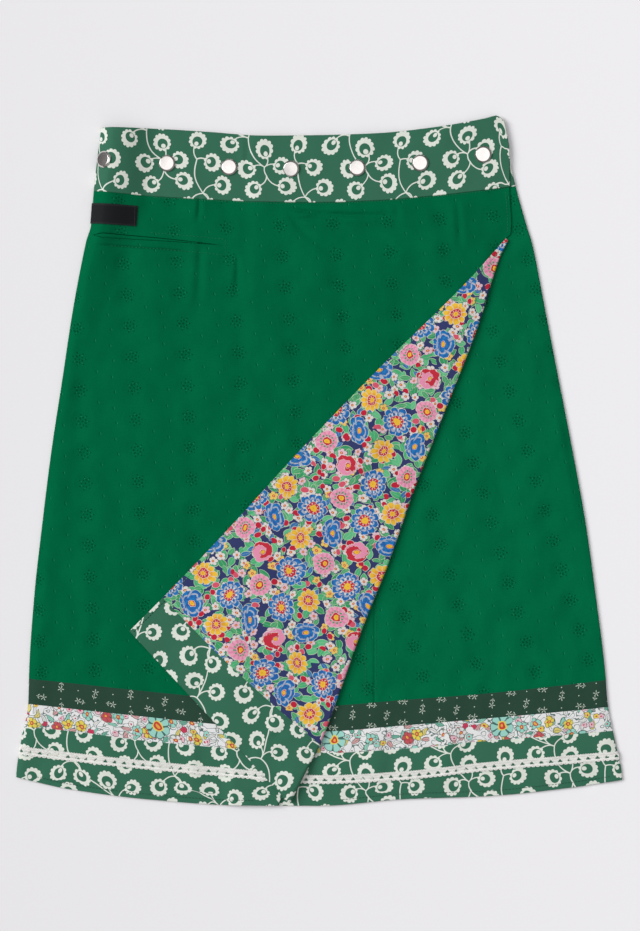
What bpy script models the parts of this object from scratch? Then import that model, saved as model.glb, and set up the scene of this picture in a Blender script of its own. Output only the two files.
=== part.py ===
# A snap-waist wrap skirt laid flat, one front folded over the other.
# The corner of the upper front is turned back, so the lining and hem facing show.
# Lengths here are millimetres: X across, Y up the skirt, Z up from the surface.
import math

import bmesh
import bpy
import numpy as np
from mathutils import Matrix, Vector

# --- driving dimensions -----------------------------------------------------
mm = 0.001
wall = 1.2                 # cloth
bandWall = 1.6             # doubled waistband
laceWall = 1.0
labelWall = 0.9
gap = 0.3                  # between layers and at seams
lipLength = 8.0            # cloth that turns under at the side folds
flapLip = 6.0              # cloth that turns under at the turned-back corner
flapLipStart = 0.4         # the same at the apex, where the corner begins
flapPuff = 2.0             # extra height of the soft roll at that fold
puffReach = 15.0
flapGrow = 60.0            # the roll and its lip reach full size this far below the apex
laceWidth = 6.3
laceLift = laceWall + gap + 0.1
laceMargin = 0.8           # cloth over a lace strip is fully raised this far above it
overlapRun, flapRun = 8.0, 16.0  # and eases down to its level in these distances
layerStep = wall + gap
bandStep = bandWall + gap
stepRun = 15.0             # cloth climbs onto the underlap's edge in this distance
flapStepRun = 48.0         # the turned-back corner climbs sooner
capRadius = 7.65           # snap caps
capHeight = 2.3
underlapSeamX = 49.5
backInset = 1.2            # the back stays hidden behind the fronts
pocketStart = (-203.6, 203.4)
pocketEnd = (-86.0, 194.0)
pocketHalfWidth = 2.4
labelTop, labelHeight, labelLength = 231.8, 18.6, 40.6

# side folds seen from above, and how high each soft fold stands
sideColumns = ("y", "left", "right", "leftHump", "rightHump")
sideRows = [
    (310.5, -195.8, 158.9, 12.5, 0.0),
    (299.7, -196.7, 162.5, 12.8, 0.0),
    (275.4, -199.8, 170.1, 13.0, 0.0),
    (243.0, -203.4, 177.8, 12.0, 0.0),
    (209.7, -206.1, 187.2, 9.5, 0.0),
    (196.2, -210.2, 191.4, 8.0, 0.0),
    (137.7, -221.9, 203.0, 4.5, 0.8),
    (72.9, -231.8, 215.6, 2.6, 1.6),
    (8.1, -241.7, 228.2, 2.0, 2.0),
    (-56.7, -249.8, 239.9, 2.0, 2.0),
    (-121.5, -257.0, 248.9, 2.2, 2.0),
    (-186.3, -261.5, 257.0, 2.4, 2.0),
    (-218.7, -262.4, 259.7, 2.6, 2.2),
    (-251.1, -268.7, 266.0, 2.8, 2.4),
    (-285.3, -273.2, 272.7, 3.0, 2.6),
    (-310.5, -273.2, 273.2, 3.0, 2.6),
]

# waistband edges across the skirt
waistColumns = ("x", "top", "seam")
waistRows = [
    (-204.0, 299.7, 243.2),
    (-150.0, 298.5, 238.6),
    (-100.0, 295.7, 235.8),
    (-50.0, 292.3, 233.6),
    (0.0, 292.7, 233.1),
    (50.0, 294.3, 234.7),
    (100.0, 299.4, 238.7),
    (150.0, 308.0, 244.4),
    (160.0, 310.5, 245.7),
    (167.0, 304.5, 246.6),
    (180.0, 303.0, 248.2),
]

# seams between the bands at the hem, the hem's edge and the lace's middle
hemColumns = ("x", "bodySeam", "sprigSeam", "floralSeam", "edge", "lace")
hemRows = [
    (-273.0, -194.9, -217.4, -238.5, -284.4, -260.1),
    (-225.0, -199.8, -222.8, -243.0, -295.2, -266.0),
    (-150.0, -207.9, -230.9, -252.5, -304.7, -274.1),
    (-75.0, -215.1, -238.5, -258.9, -309.6, -280.8),
    (0.0, -220.5, -243.5, -262.8, -310.1, -286.7),
    (75.0, -215.1, -238.1, -259.2, -304.2, -283.1),
    (150.0, -209.3, -231.8, -252.0, -301.5, -275.0),
    (225.0, -201.2, -225.0, -246.2, -293.9, -268.7),
    (273.0, -195.3, -220.1, -242.1, -286.7, -264.8),
]

# front edge of the overlap, then the fold of its turned-back corner
frontColumns = ("y", "x")
frontRows = [
    (310.5, 165.0),
    (305.1, 166.0),
    (275.4, 170.6),
    (246.6, 170.6),
    (212.4, 172.4),
    (204.3, 171.5),
    (180.9, 161.6),
    (120.6, 142.7),
    (69.3, 122.9),
    (-32.0, 83.3),
    (-89.1, 63.5),
    (-147.6, 40.1),
    (-217.8, 14.9),
    (-255.0, 0.8),
    (-280.0, -12.2),
    (-310.5, -27.4),
]

# free edge of the turned-back corner
cornerColumns = ("y", "x")
cornerRows = [
    (204.3, 171.5),
    (163.8, 135.5),
    (83.7, 54.5),
    (9.0, -17.6),
    (-64.8, -85.0),
    (-123.3, -140.9),
    (-153.0, -170.6),
]
apexY = 204.3
apexRun = 4.5              # below the apex the overlap draws back from the fold in this distance
flapStart = 0.013          # share of the flap's length left to the bare apex
liningEdgeY, liningFoldY = -123.3, -254.7
facingEdgeY, facingFoldY = -153.0, -306.9
facingBow = 3.0

# hidden front edge of the underlap
hiddenColumns = ("y", "x")
hiddenRows = [(310.5, -52.0), (0.0, -62.0), (-310.5, -75.0)]

# snap caps along the middle of the waistband
snapXs = (-193.0, -137.3, -81.5, -25.7, 33.8, 90.5, 147.2)

# linear colour, roughness, metallic
materialLooks = {
    "green_cloth": ((0.0, 0.117, 0.045), 0.85, 0.0),
    "scallop_print": ((0.11, 0.26, 0.18), 0.8, 0.0),
    "sprig_print": ((0.024, 0.056, 0.039), 0.85, 0.0),
    "floral_print": ((0.62, 0.72, 0.74), 0.8, 0.0),
    "lining_print": ((0.32, 0.16, 0.24), 0.8, 0.0),
    "lace_cotton": ((0.86, 0.86, 0.84), 0.9, 0.0),
    "label_tape": ((0.014, 0.016, 0.019), 0.6, 0.0),
    "nickel": ((0.72, 0.69, 0.68), 0.25, 1.0),
}


# shares down each piece where its rows lie, the same on all layers so seams agree
bandRows = np.linspace(0, 1, 5)
bodyRows = np.concatenate([[0.0, 0.046, 0.092, 0.104, 0.12], np.linspace(0.18, 1.0, 12)])
stripRows = np.linspace(0, 1, 3)
hemShares = np.array([0.0, 0.18, 0.34, 0.6, 1.0])
laceRows = np.linspace(0, 1, 3)
foldCounts = (2, 6, 4, 5)  # points in the under-lip, the turn, the rise and the fall


# --- curves -----------------------------------------------------------------
def curveOf(rows, columns, along, across):
    # monotone cubic through two columns of a table, held level past its ends
    table = np.array(rows, dtype=float)
    knots = table[:, columns.index(along)]
    values = table[:, columns.index(across)]
    order = np.argsort(knots)
    knots, values = knots[order], values[order]
    step = np.diff(knots)
    slope = np.diff(values) / step
    same = slope[:-1] * slope[1:] > 0
    safe = np.where(same, slope[:-1] * slope[1:], 1.0)
    inner = np.where(same, 2 * safe / np.where(same, slope[:-1] + slope[1:], 1.0), 0.0)
    tangent = np.concatenate([[slope[0]], inner, [slope[-1]]])

    def curve(at):
        at = np.clip(at, knots[0], knots[-1])
        k = np.clip(np.searchsorted(knots, at) - 1, 0, len(step) - 1)
        h = step[k]
        f = (at - knots[k]) / h
        return (values[k] * (1 + 2 * f) * (1 - f) ** 2 + values[k + 1] * f * f * (3 - 2 * f)
                + h * tangent[k] * f * (1 - f) ** 2 - h * tangent[k + 1] * f * f * (1 - f))

    return curve


leftFold = curveOf(sideRows, sideColumns, "y", "left")
rightFold = curveOf(sideRows, sideColumns, "y", "right")
leftHump = curveOf(sideRows, sideColumns, "y", "leftHump")
rightHump = curveOf(sideRows, sideColumns, "y", "rightHump")
waistTop = curveOf(waistRows, waistColumns, "x", "top")
waistSeam = curveOf(waistRows, waistColumns, "x", "seam")
bodySeam = curveOf(hemRows, hemColumns, "x", "bodySeam")
sprigSeam = curveOf(hemRows, hemColumns, "x", "sprigSeam")
floralSeam = curveOf(hemRows, hemColumns, "x", "floralSeam")
hemEdge = curveOf(hemRows, hemColumns, "x", "edge")
laceMiddle = curveOf(hemRows, hemColumns, "x", "lace")
frontEdge = curveOf(frontRows, frontColumns, "y", "x")
cornerEdge = curveOf(cornerRows, cornerColumns, "y", "x")
hiddenEdge = curveOf(hiddenRows, hiddenColumns, "y", "x")


def shifted(curve, by):
    return lambda at: curve(at) + by


def smooth(low, high, at):
    # 0 below low, 1 above high, eased between
    f = np.clip((at - low) / (high - low), 0.0, 1.0)
    return f * f * (3 - 2 * f)


# --- heights of the layers --------------------------------------------------
def overUnderlap(x, y):
    # 1 where the overlap lies on the underlap, 0 where it lies on the back
    hidden = hiddenEdge(y)
    return smooth(hidden - stepRun, hidden - 1.0, x)


def overLace(x, y, run):
    # 1 from the lace strip down to the hem, easing to 0 in a run above it
    fromMiddle = y - laceMiddle(x)
    raised = laceWidth / 2 + laceMargin
    return 1.0 - smooth(raised, raised + run, fromMiddle)


def overlapLift(x, y):
    # what the overlap's cloth gains over its level on the back
    return overUnderlap(x, y) * (layerStep + laceLift * overLace(x, y, overlapRun))


def bandLift(x, y):
    return overUnderlap(x, y) * bandStep


def noLift(x, y):
    return np.zeros_like(x)


def underFlap(x, y):
    # the overlap's level below the turned-back corner, eased wide so the corner clears it
    hidden = hiddenEdge(y)
    onUnderlap = smooth(hidden - flapStepRun, hidden - stepRun + 3.0, x)
    return onUnderlap * (layerStep + laceLift * overLace(x, y, flapRun))


def flapRise(x, y):
    # the turned-back cloth's height over the overlap's
    return layerStep + gap / 3 + (laceLift + gap) * overLace(x, y, flapRun)


# --- section of a soft side fold --------------------------------------------
def foldShape(hump, thick):
    # turn radius, crest and reach of the fold, and where its turn meets the top cloth
    low = thick / 2
    flat = low + thick + gap
    turn = (flat - low) / 2 + 0.1 * hump
    outer = turn + thick / 2
    crest = 6.0 + 0.55 * hump
    reach = 20.0 + 2.7 * hump
    top = flat + hump
    lean = np.zeros_like(hump)
    for _ in range(6):
        joinS = outer - turn * np.sin(lean)
        joinZ = low + turn * (1 + np.cos(lean))
        slope = 1.5 * (top - joinZ) / (crest - joinS)
        lean = np.arctan(slope)
    return dict(low=low, flat=flat, turn=turn, outer=outer, crest=crest, reach=reach,
                top=top, lean=lean, joinS=joinS, joinZ=joinZ, slope=slope)


def topCloth(s, fold):
    # height of the upper cloth at distance s inside the fold:
    # a Hermite rise from the turn to the crest, then an eased fall to the flat
    run = fold["crest"] - fold["joinS"]
    f = np.clip((s - fold["joinS"]) / run, 0.0, 1.0)
    rise = (fold["joinZ"] * (1 + 2 * f) * (1 - f) ** 2 + fold["top"] * f * f * (3 - 2 * f)
            + run * fold["slope"] * f * (1 - f) ** 2)
    fall = smooth(fold["crest"], fold["reach"], s)
    return np.where(s < fold["crest"], rise, fold["top"] + (fold["flat"] - fold["top"]) * fall)


def foldPath(hump, thick, rest):
    # middle of the cloth in one row: under-lip, turn, rise, fall and the flat rest,
    # whose points lie at the distances in rest
    lipCount, turnCount, riseCount, fallCount = foldCounts
    fold = foldShape(hump, thick)
    lipAt = np.linspace(0, 1, lipCount, endpoint=False)
    lipS = lipLength + (fold["outer"] - lipLength) * lipAt
    lipZ = np.zeros_like(lipS) + fold["low"]
    angle = -math.pi / 2 + (math.pi - fold["lean"]) * np.linspace(0, 1, turnCount, endpoint=False)
    turnS = fold["outer"] - fold["turn"] * np.cos(angle)
    turnZ = fold["low"] + fold["turn"] * (1 + np.sin(angle))
    riseS = fold["joinS"] + (fold["crest"] - fold["joinS"]) * np.linspace(0, 1, riseCount, endpoint=False)
    fallS = fold["crest"] + (fold["reach"] - fold["crest"]) * np.linspace(0, 1, fallCount, endpoint=False)
    upperS = np.concatenate([riseS, fallS, rest], axis=1)
    s = np.concatenate([lipS, turnS, upperS], axis=1)
    z = np.concatenate([lipZ, turnZ, topCloth(upperS, fold)], axis=1)
    return s, z


# --- grids of cloth ---------------------------------------------------------
def rowCurve(top, bottom, share):
    return lambda x: top(x) * (1 - share) + bottom(x) * share


def endOfRow(row, edge, start):
    # where a row meets an edge given as x(y)
    x = start
    for _ in range(8):
        x = edge(row(x))
    return x


def columnsBetween(row, spans, first):
    # columns of x from one edge to the next, each span with its edge, count and inset,
    # so pieces that share edges share columns
    places = [first]
    for edge, count, inset in spans:
        here = places[-1][:, -1:]
        last = endOfRow(row, edge, here) - inset
        places.append(here + (last - here) * np.linspace(0, 1, count + 1)[1:])
    return np.concatenate(places, axis=1)


def foldedGrid(side, top, bottom, shares, spans, thick, lift):
    # cloth that comes round a side fold: side +1 at the left fold, -1 at the right
    share = shares.reshape(-1, 1)
    row = rowCurve(top, bottom, share)
    edge = leftFold if side > 0 else rightFold
    hump = leftHump if side > 0 else rightHump
    start = endOfRow(row, edge, np.zeros_like(share))
    humpHere = hump(row(start))
    reach = foldShape(humpHere, thick)["reach"]
    rest = side * (columnsBetween(row, spans, start + side * reach) - start)
    s, z = foldPath(humpHere, thick, rest)
    x = start + side * s
    y = row(x)
    onTop = np.arange(s.shape[1]) >= sum(foldCounts[:2])
    return np.stack([x, y, z + lift(x, y) * onTop], axis=2)


def flatGrid(top, bottom, shares, startEdge, spans, inset, height):
    share = shares.reshape(-1, 1)
    row = rowCurve(top, bottom, share)
    start = endOfRow(row, startEdge, np.zeros_like(share)) + inset
    x = columnsBetween(row, spans, start)
    y = row(x)
    return np.stack([x, y, np.zeros_like(x) + height], axis=2)


def normalsOf(grid):
    # unit normals from the grid's own directions, facing up or out
    across = np.gradient(grid, axis=1)
    down = np.gradient(grid, axis=0)
    normal = np.cross(down, across)
    return normal / np.linalg.norm(normal, axis=2, keepdims=True)


# --- turned-back corner -----------------------------------------------------
def foldSlope(y):
    return (frontEdge(y + 1.0) - frontEdge(y - 1.0)) / 2.0


def foldNormal(y):
    # unit vector square to the fold line, pointing away from the flap
    slope = foldSlope(y)
    size = np.sqrt(1 + slope ** 2)
    return np.stack([1 / size, -slope / size], axis=-1)


def flapShare(y):
    # 0 at the apex, 1 from where the roll is full
    return smooth(0.0, flapGrow, apexY - y)


def lipSpan(y):
    return flapLipStart + (flapLip - flapLipStart) * flapShare(y)


def flapGrid(edgeY, foldY, bow, countAcross):
    # rows of cloth from the free edge to the roll, round it and back under as a lip
    edge = np.stack([cornerEdge(edgeY), edgeY], axis=-1)[:, None, :]
    fold = np.stack([frontEdge(foldY), foldY], axis=-1)[:, None, :]
    normal = foldNormal(foldY)[:, None, :]
    puff = (flapPuff * flapShare(foldY))[:, None]
    foldX, foldYs = fold[:, :, 0], fold[:, :, 1]
    low = wall + gap + wall / 2 + underFlap(foldX, foldYs)
    turn = (flapRise(foldX, foldYs) + puff) / 2
    outer = turn + wall / 2
    crest = fold - normal * outer[:, :, None]
    across = np.linspace(0, 1, countAcross, endpoint=False)[None, :]
    flat = edge + (crest - edge) * across[:, :, None]
    along = crest - edge
    size = np.linalg.norm(along, axis=2)
    square = np.stack([along[:, :, 1], -along[:, :, 0]], axis=2) / size[:, :, None]
    flat = flat + square * (bow[:, None] * np.sin(math.pi * across))[:, :, None]
    back = (1 - across) * size
    base = wall + gap + wall / 2 + underFlap(flat[:, :, 0], flat[:, :, 1])
    flatZ = base + flapRise(flat[:, :, 0], flat[:, :, 1]) + puff * np.exp(-((back / puffReach) ** 2))
    angle = np.linspace(math.pi / 2, -math.pi / 2, 7)[None, :]
    roll = crest + normal * (turn * np.cos(angle))[:, :, None]
    rollZ = low + turn * (1 + np.sin(angle))
    lip = crest - normal * lipSpan(foldY)[:, None, None]
    lipZ = low + np.zeros_like(lip[:, :, 0])
    plan = np.concatenate([flat, roll, lip], axis=1)
    height = np.concatenate([flatZ, rollZ, lipZ], axis=1)
    return np.concatenate([plan, height[:, :, None]], axis=2)


def overlapEnd(y):
    # the overlap's cloth stops short of the turned-back corner's lip
    outer = (layerStep + laceLift + flapPuff * flapShare(y)) / 2 + wall / 2
    room = (outer + lipSpan(y) + 3 * gap) * np.sqrt(1 + foldSlope(y) ** 2)
    return frontEdge(y) - room * smooth(0.0, apexRun, apexY - y)


# --- building ---------------------------------------------------------------
def clearScene():
    for item in list(bpy.data.objects):
        bpy.data.objects.remove(item, do_unlink=True)


def makeMaterials():
    made = {}
    for name, (colour, roughness, metallic) in materialLooks.items():
        material = bpy.data.materials.new(name)
        material.use_nodes = True
        shader = material.node_tree.nodes["Principled BSDF"]
        shader.inputs["Base Color"].default_value = (*colour, 1.0)
        shader.inputs["Roughness"].default_value = roughness
        shader.inputs["Metallic"].default_value = metallic
        material.diffuse_color = (*colour, 1.0)
        made[name] = material
    return made


def addObject(name, mesh, material):
    item = bpy.data.objects.new(name, mesh)
    bpy.context.scene.collection.objects.link(item)
    mesh.materials.append(material)
    return item


def addSheet(name, grid, thick, material):
    # a grid of mid-cloth points made into a closed wall by Solidify
    rows, columns = grid.shape[:2]
    index = np.arange(rows * columns).reshape(rows, columns)
    quads = np.stack([index[:-1, :-1], index[1:, :-1], index[1:, 1:], index[:-1, 1:]], axis=2)
    mesh = bpy.data.meshes.new(name)
    mesh.from_pydata((grid.reshape(-1, 3) * mm).tolist(), [], quads.reshape(-1, 4).tolist())
    item = addObject(name, mesh, material)
    thicken = item.modifiers.new("cloth_wall", "SOLIDIFY")
    thicken.thickness = thick * mm
    thicken.offset = 0.0
    thicken.use_even_offset = True
    mesh.shade_smooth()
    return item


def addSnap(name, place, normal, material):
    # turned cap: flat foot, rolled rim, shallow groove and a low dome
    profile = [(0.0, 0.0), (6.9, 0.0), (7.65, 0.5), (7.5, 1.15), (6.7, 1.35), (6.0, 1.3),
               (4.4, 1.95), (2.2, 2.22), (0.0, capHeight)]
    build = bmesh.new()
    points = [build.verts.new((r * capRadius / 7.65 * mm, 0.0, z * mm)) for r, z in profile]
    edges = [build.edges.new(pair) for pair in zip(points, points[1:])]
    bmesh.ops.spin(build, geom=points + edges, cent=(0, 0, 0), axis=(0, 0, 1),
                   angle=math.tau, steps=14, use_merge=True)
    bmesh.ops.remove_doubles(build, verts=build.verts, dist=0.00002)
    bmesh.ops.recalc_face_normals(build, faces=build.faces)
    mesh = bpy.data.meshes.new(name)
    build.to_mesh(mesh)
    build.free()
    mesh.shade_smooth()
    mesh.set_sharp_from_angle(angle=math.radians(50))
    item = addObject(name, mesh, material)
    turn = Vector((0, 0, 1)).rotation_difference(Vector(normal)).to_matrix().to_4x4()
    item.matrix_world = Matrix.Translation(Vector(place) * mm) @ turn
    return item


# --- the skirt's pieces -----------------------------------------------------
def rampStart(y):
    return hiddenEdge(y) - stepRun - 2.0


def rampEnd(y):
    return hiddenEdge(y) - 0.5


def seamOfUnderlap(y):
    return np.zeros_like(y) + underlapSeamX


def overlapSpans(end):
    return [(rampStart, 4, 0.0), (rampEnd, 5, 0.0), (end, 9, 0.0)]


underlapSpans = [(seamOfUnderlap, 7, 0.0), (hiddenEdge, 5, 0.0)]


def betweenSeams(top, bottom):
    return shifted(top, -gap / 2), shifted(bottom, gap / 2)


def hemStrips(prefix, side, spans, lift, materials):
    bands = [
        ("sprig_band", bodySeam, sprigSeam, stripRows, "sprig_print"),
        ("floral_band", sprigSeam, floralSeam, stripRows, "floral_print"),
        ("hem_band", floralSeam, hemEdge, hemShares, "scallop_print"),
    ]
    for name, top, bottom, shares, slot in bands:
        grid = foldedGrid(side, *betweenSeams(top, bottom), shares, spans, wall, lift)
        addSheet(f"{prefix}_{name}", grid, wall, materials[slot])


def laceStrip(name, side, spans, lift, materials):
    # lace follows the hem band's points, moved out, and ends at the side fold
    top = shifted(laceMiddle, laceWidth / 2)
    bottom = shifted(laceMiddle, -laceWidth / 2)
    grid = foldedGrid(side, top, bottom, laceRows, spans, wall, lift)
    raised = grid + normalsOf(grid) * side * (wall / 2 + gap + laceWall / 2)
    upper = sum(foldCounts[:2]) - 1
    addSheet(name, raised[:, upper:], laceWall, materials["lace_cotton"])


def buildBack(materials):
    pieces = [
        ("back_waistband", shifted(waistTop, -backInset), waistSeam, bandWall, bandRows, "scallop_print"),
        ("back_panel", waistSeam, bodySeam, wall, bodyRows, "green_cloth"),
        ("back_sprig_band", bodySeam, sprigSeam, wall, stripRows, "sprig_print"),
        ("back_floral_band", sprigSeam, floralSeam, wall, stripRows, "floral_print"),
        ("back_hem_band", floralSeam, shifted(hemEdge, backInset), wall, hemShares, "scallop_print"),
    ]
    inset = lipLength + gap + 0.1
    for name, top, bottom, thick, shares, slot in pieces:
        grid = flatGrid(*betweenSeams(top, bottom), shares, leftFold,
                        [(rightFold, 11, inset)], inset, thick / 2)
        addSheet(name, grid, thick, materials[slot])


def buildUnderlap(materials):
    rightOfSeam = [(seamOfUnderlap, 7, -gap / 2)]
    leftOfSeam = [(seamOfUnderlap, 5, gap / 2)]
    body = betweenSeams(waistSeam, bodySeam)
    panel = foldedGrid(-1, *body, bodyRows, rightOfSeam, wall, noLift)
    addSheet("underlap_panel", panel, wall, materials["green_cloth"])
    front = flatGrid(*body, bodyRows, hiddenEdge, leftOfSeam, 0.0, layerStep + wall / 2)
    addSheet("underlap_front_panel", front, wall, materials["green_cloth"])
    hemStrips("underlap", -1, underlapSpans, noLift, materials)
    laceStrip("underlap_lace", -1, underlapSpans, noLift, materials)
    band = foldedGrid(-1, *betweenSeams(shifted(waistTop, -backInset), waistSeam), bandRows,
                      underlapSpans, bandWall, noLift)
    addSheet("underlap_waistband", band, bandWall, materials["scallop_print"])


def pocketMiddle(x):
    share = (x - pocketStart[0]) / (pocketEnd[0] - pocketStart[0])
    return pocketStart[1] + (pocketEnd[1] - pocketStart[1]) * share + 0.8 * np.sin(math.pi * share)


def pocketHalf(x):
    # half the mouth's width: widest a third of the way along, closed at the ends
    share = np.clip((x - pocketStart[0]) / (pocketEnd[0] - pocketStart[0]), 0.0, 1.0)
    return pocketHalfWidth * np.sin(math.pi * share ** 0.7) ** 0.7


def overlapSurface(x, y, thick):
    lift = overlapLift if thick == wall else bandLift
    return topCloth(x - leftFold(y), foldShape(leftHump(y), thick)) + lift(x, y)


def pocketCutter():
    # a lens-shaped prism through the panel's upper cloth only
    x = np.linspace(pocketStart[0], pocketEnd[0], 15)
    middle, half = pocketMiddle(x), pocketHalf(x)
    upper = np.stack([x, middle + half], axis=1)
    lower = np.stack([x, middle - half], axis=1)[::-1]
    ring = np.concatenate([upper[:-1], lower[:-1]])
    build = bmesh.new()
    corners = [build.verts.new((px * mm, py * mm, (wall + gap / 2) * mm)) for px, py in ring]
    face = build.faces.new(corners)
    grown = bmesh.ops.extrude_face_region(build, geom=[face])["geom"]
    raised = [part for part in grown if isinstance(part, bmesh.types.BMVert)]
    bmesh.ops.translate(build, verts=raised, vec=(0, 0, 30 * mm))
    bmesh.ops.recalc_face_normals(build, faces=build.faces)
    mesh = bpy.data.meshes.new("pocket_cutter")
    build.to_mesh(mesh)
    build.free()
    cutter = bpy.data.objects.new("pocket_cutter", mesh)
    bpy.context.scene.collection.objects.link(cutter)
    cutter.hide_render = True
    cutter.display_type = "WIRE"
    return cutter


def buildPocket(panel, materials):
    cut = panel.modifiers.new("pocket_mouth", "BOOLEAN")
    cut.operation = "DIFFERENCE"
    cut.object = pocketCutter()
    x = np.linspace(pocketStart[0] + 9.0, pocketEnd[0] - 8.0, 16)[None, :]
    across = np.array([[1.0], [0.0], [-1.0]])
    y = pocketMiddle(x) + across * (pocketHalf(x) - gap - 0.25)
    x = np.repeat(x, 3, axis=0)
    grid = np.stack([x, y, overlapSurface(x, y, wall)], axis=2)
    addSheet("pocket_welt", grid, wall - 0.2, materials["green_cloth"])


def addLabel(materials):
    # the label lies on the panel's points from its turn to partway down its fall
    y = labelTop - labelHeight * np.linspace(0, 1, 3)[:, None]
    fold = foldShape(leftHump(y), wall)
    first, last = sum(foldCounts[:2]), sum(foldCounts) - 1
    s = foldPath(leftHump(y), wall, np.zeros((3, 0)))[0][:, first:last]
    s = np.concatenate([np.minimum(s, labelLength - 3.0), np.full_like(y, labelLength)], axis=1)
    z = topCloth(s, fold)
    y = y - 0.06 * s
    grid = np.stack([leftFold(y) + s, y, z], axis=2)
    raised = grid + normalsOf(grid) * (wall / 2 + 2 * gap + labelWall / 2)
    addSheet("label", raised, labelWall, materials["label_tape"])


def addSnaps(materials):
    reach = 3.0
    for number, x in enumerate(snapXs, start=1):
        y = (waistTop(x) + waistSeam(x)) / 2
        places = np.array([[x, y], [x + reach, y], [x - reach, y], [x, y + reach], [x, y - reach]])
        z = overlapSurface(places[:, 0], places[:, 1], bandWall)
        normal = np.array([(z[2] - z[1]) / (2 * reach), (z[4] - z[3]) / (2 * reach), 1.0])
        normal = normal / np.linalg.norm(normal)
        place = np.array([x, y, z[0]]) + normal * (bandWall / 2 + gap)
        addSnap(f"snap_{number}", place, normal, materials["nickel"])


def buildOverlap(materials):
    panelGrid = foldedGrid(1, *betweenSeams(waistSeam, bodySeam), bodyRows,
                           overlapSpans(overlapEnd), wall, overlapLift)
    panel = addSheet("overlap_panel", panelGrid, wall, materials["green_cloth"])
    hemStrips("overlap", 1, overlapSpans(overlapEnd), overlapLift, materials)
    laceStrip("overlap_lace", 1, overlapSpans(overlapEnd), overlapLift, materials)
    band = foldedGrid(1, *betweenSeams(waistTop, waistSeam), bandRows,
                      overlapSpans(frontEdge), bandWall, bandLift)
    addSheet("overlap_waistband", band, bandWall, materials["scallop_print"])
    buildPocket(panel, materials)


def buildFlap(materials):
    share = np.linspace(flapStart, 1, 22)
    edgeY = apexY + (liningEdgeY + gap / 2 - apexY) * share
    foldY = apexY + (liningFoldY + gap / 2 - apexY) * share
    lining = flapGrid(edgeY, foldY, facingBow * share ** 4, 9)
    addSheet("flap_lining", lining, wall, materials["lining_print"])
    share = np.linspace(0, 1, 7)
    edgeY = liningEdgeY - gap / 2 + (facingEdgeY - liningEdgeY + gap / 2) * share
    foldY = liningFoldY - gap / 2 + (facingFoldY - liningFoldY + gap / 2) * share
    facing = flapGrid(edgeY, foldY, facingBow * (1 - share), 12)
    addSheet("flap_facing", facing, wall, materials["scallop_print"])


clearScene()
slots = makeMaterials()
buildBack(slots)
buildUnderlap(slots)
buildOverlap(slots)
buildFlap(slots)
addLabel(slots)
addSnaps(slots)
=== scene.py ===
# A snap-waist wrap skirt laid flat: its cloth, prints, lace, stitching and snaps.
# Lengths are millimetres until a mesh is made: X across, Y up the skirt, Z up from the surface.
import math

import bpy
import numpy as np
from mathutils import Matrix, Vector


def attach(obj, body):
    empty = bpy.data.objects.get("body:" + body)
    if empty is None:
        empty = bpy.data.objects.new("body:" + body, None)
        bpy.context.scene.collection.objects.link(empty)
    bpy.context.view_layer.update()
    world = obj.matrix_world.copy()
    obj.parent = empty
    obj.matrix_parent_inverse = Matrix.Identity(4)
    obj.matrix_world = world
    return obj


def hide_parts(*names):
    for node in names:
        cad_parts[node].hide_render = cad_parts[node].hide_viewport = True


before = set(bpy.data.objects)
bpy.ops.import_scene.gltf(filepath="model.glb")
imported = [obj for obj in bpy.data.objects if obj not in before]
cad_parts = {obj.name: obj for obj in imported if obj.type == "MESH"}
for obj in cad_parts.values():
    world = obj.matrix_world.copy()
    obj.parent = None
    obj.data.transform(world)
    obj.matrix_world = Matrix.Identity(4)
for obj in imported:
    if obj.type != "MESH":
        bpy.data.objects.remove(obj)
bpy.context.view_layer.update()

mm = 0.001
cloth, doubled, gap = 1.2, 1.6, 0.3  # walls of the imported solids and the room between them
shell, bandShell = 0.9, 1.3          # walls of the cloth shown here
seamGap = 0.08                       # between two sewn pieces
seamDip, seamDepth, uprightDepth = 1.2, 0.35, 0.85  # the dip at a seam: how far it reaches, how deep it is
besideRows = (0.7, 1.6)              # rows set beside a seam
bandTall = 58.0                      # the waistband
layerStep, bandStep = cloth + gap, doubled + gap
laceWidth, laceThick = 6.3, 1.0
laceLift = laceThick + gap + 0.1
lipLength, flapLip, flapLipStart = 8.0, 6.0, 0.4
flapPuff, puffReach, flapGrow = 2.0, 15.0, 60.0
apexY, apexRun, flapStart = 204.3, 4.5, 0.013
backInset, underlapSeamX = 1.2, 49.5
panelHeight, slitPanel = 440.0, 438.0  # the panels between their seams, and the overlap's beside its pocket
liningEdgeY, liningFoldY = -123.3, -254.7
facingEdgeY, facingFoldY, facingBow = -153.0, -306.9, 3.0

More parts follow.
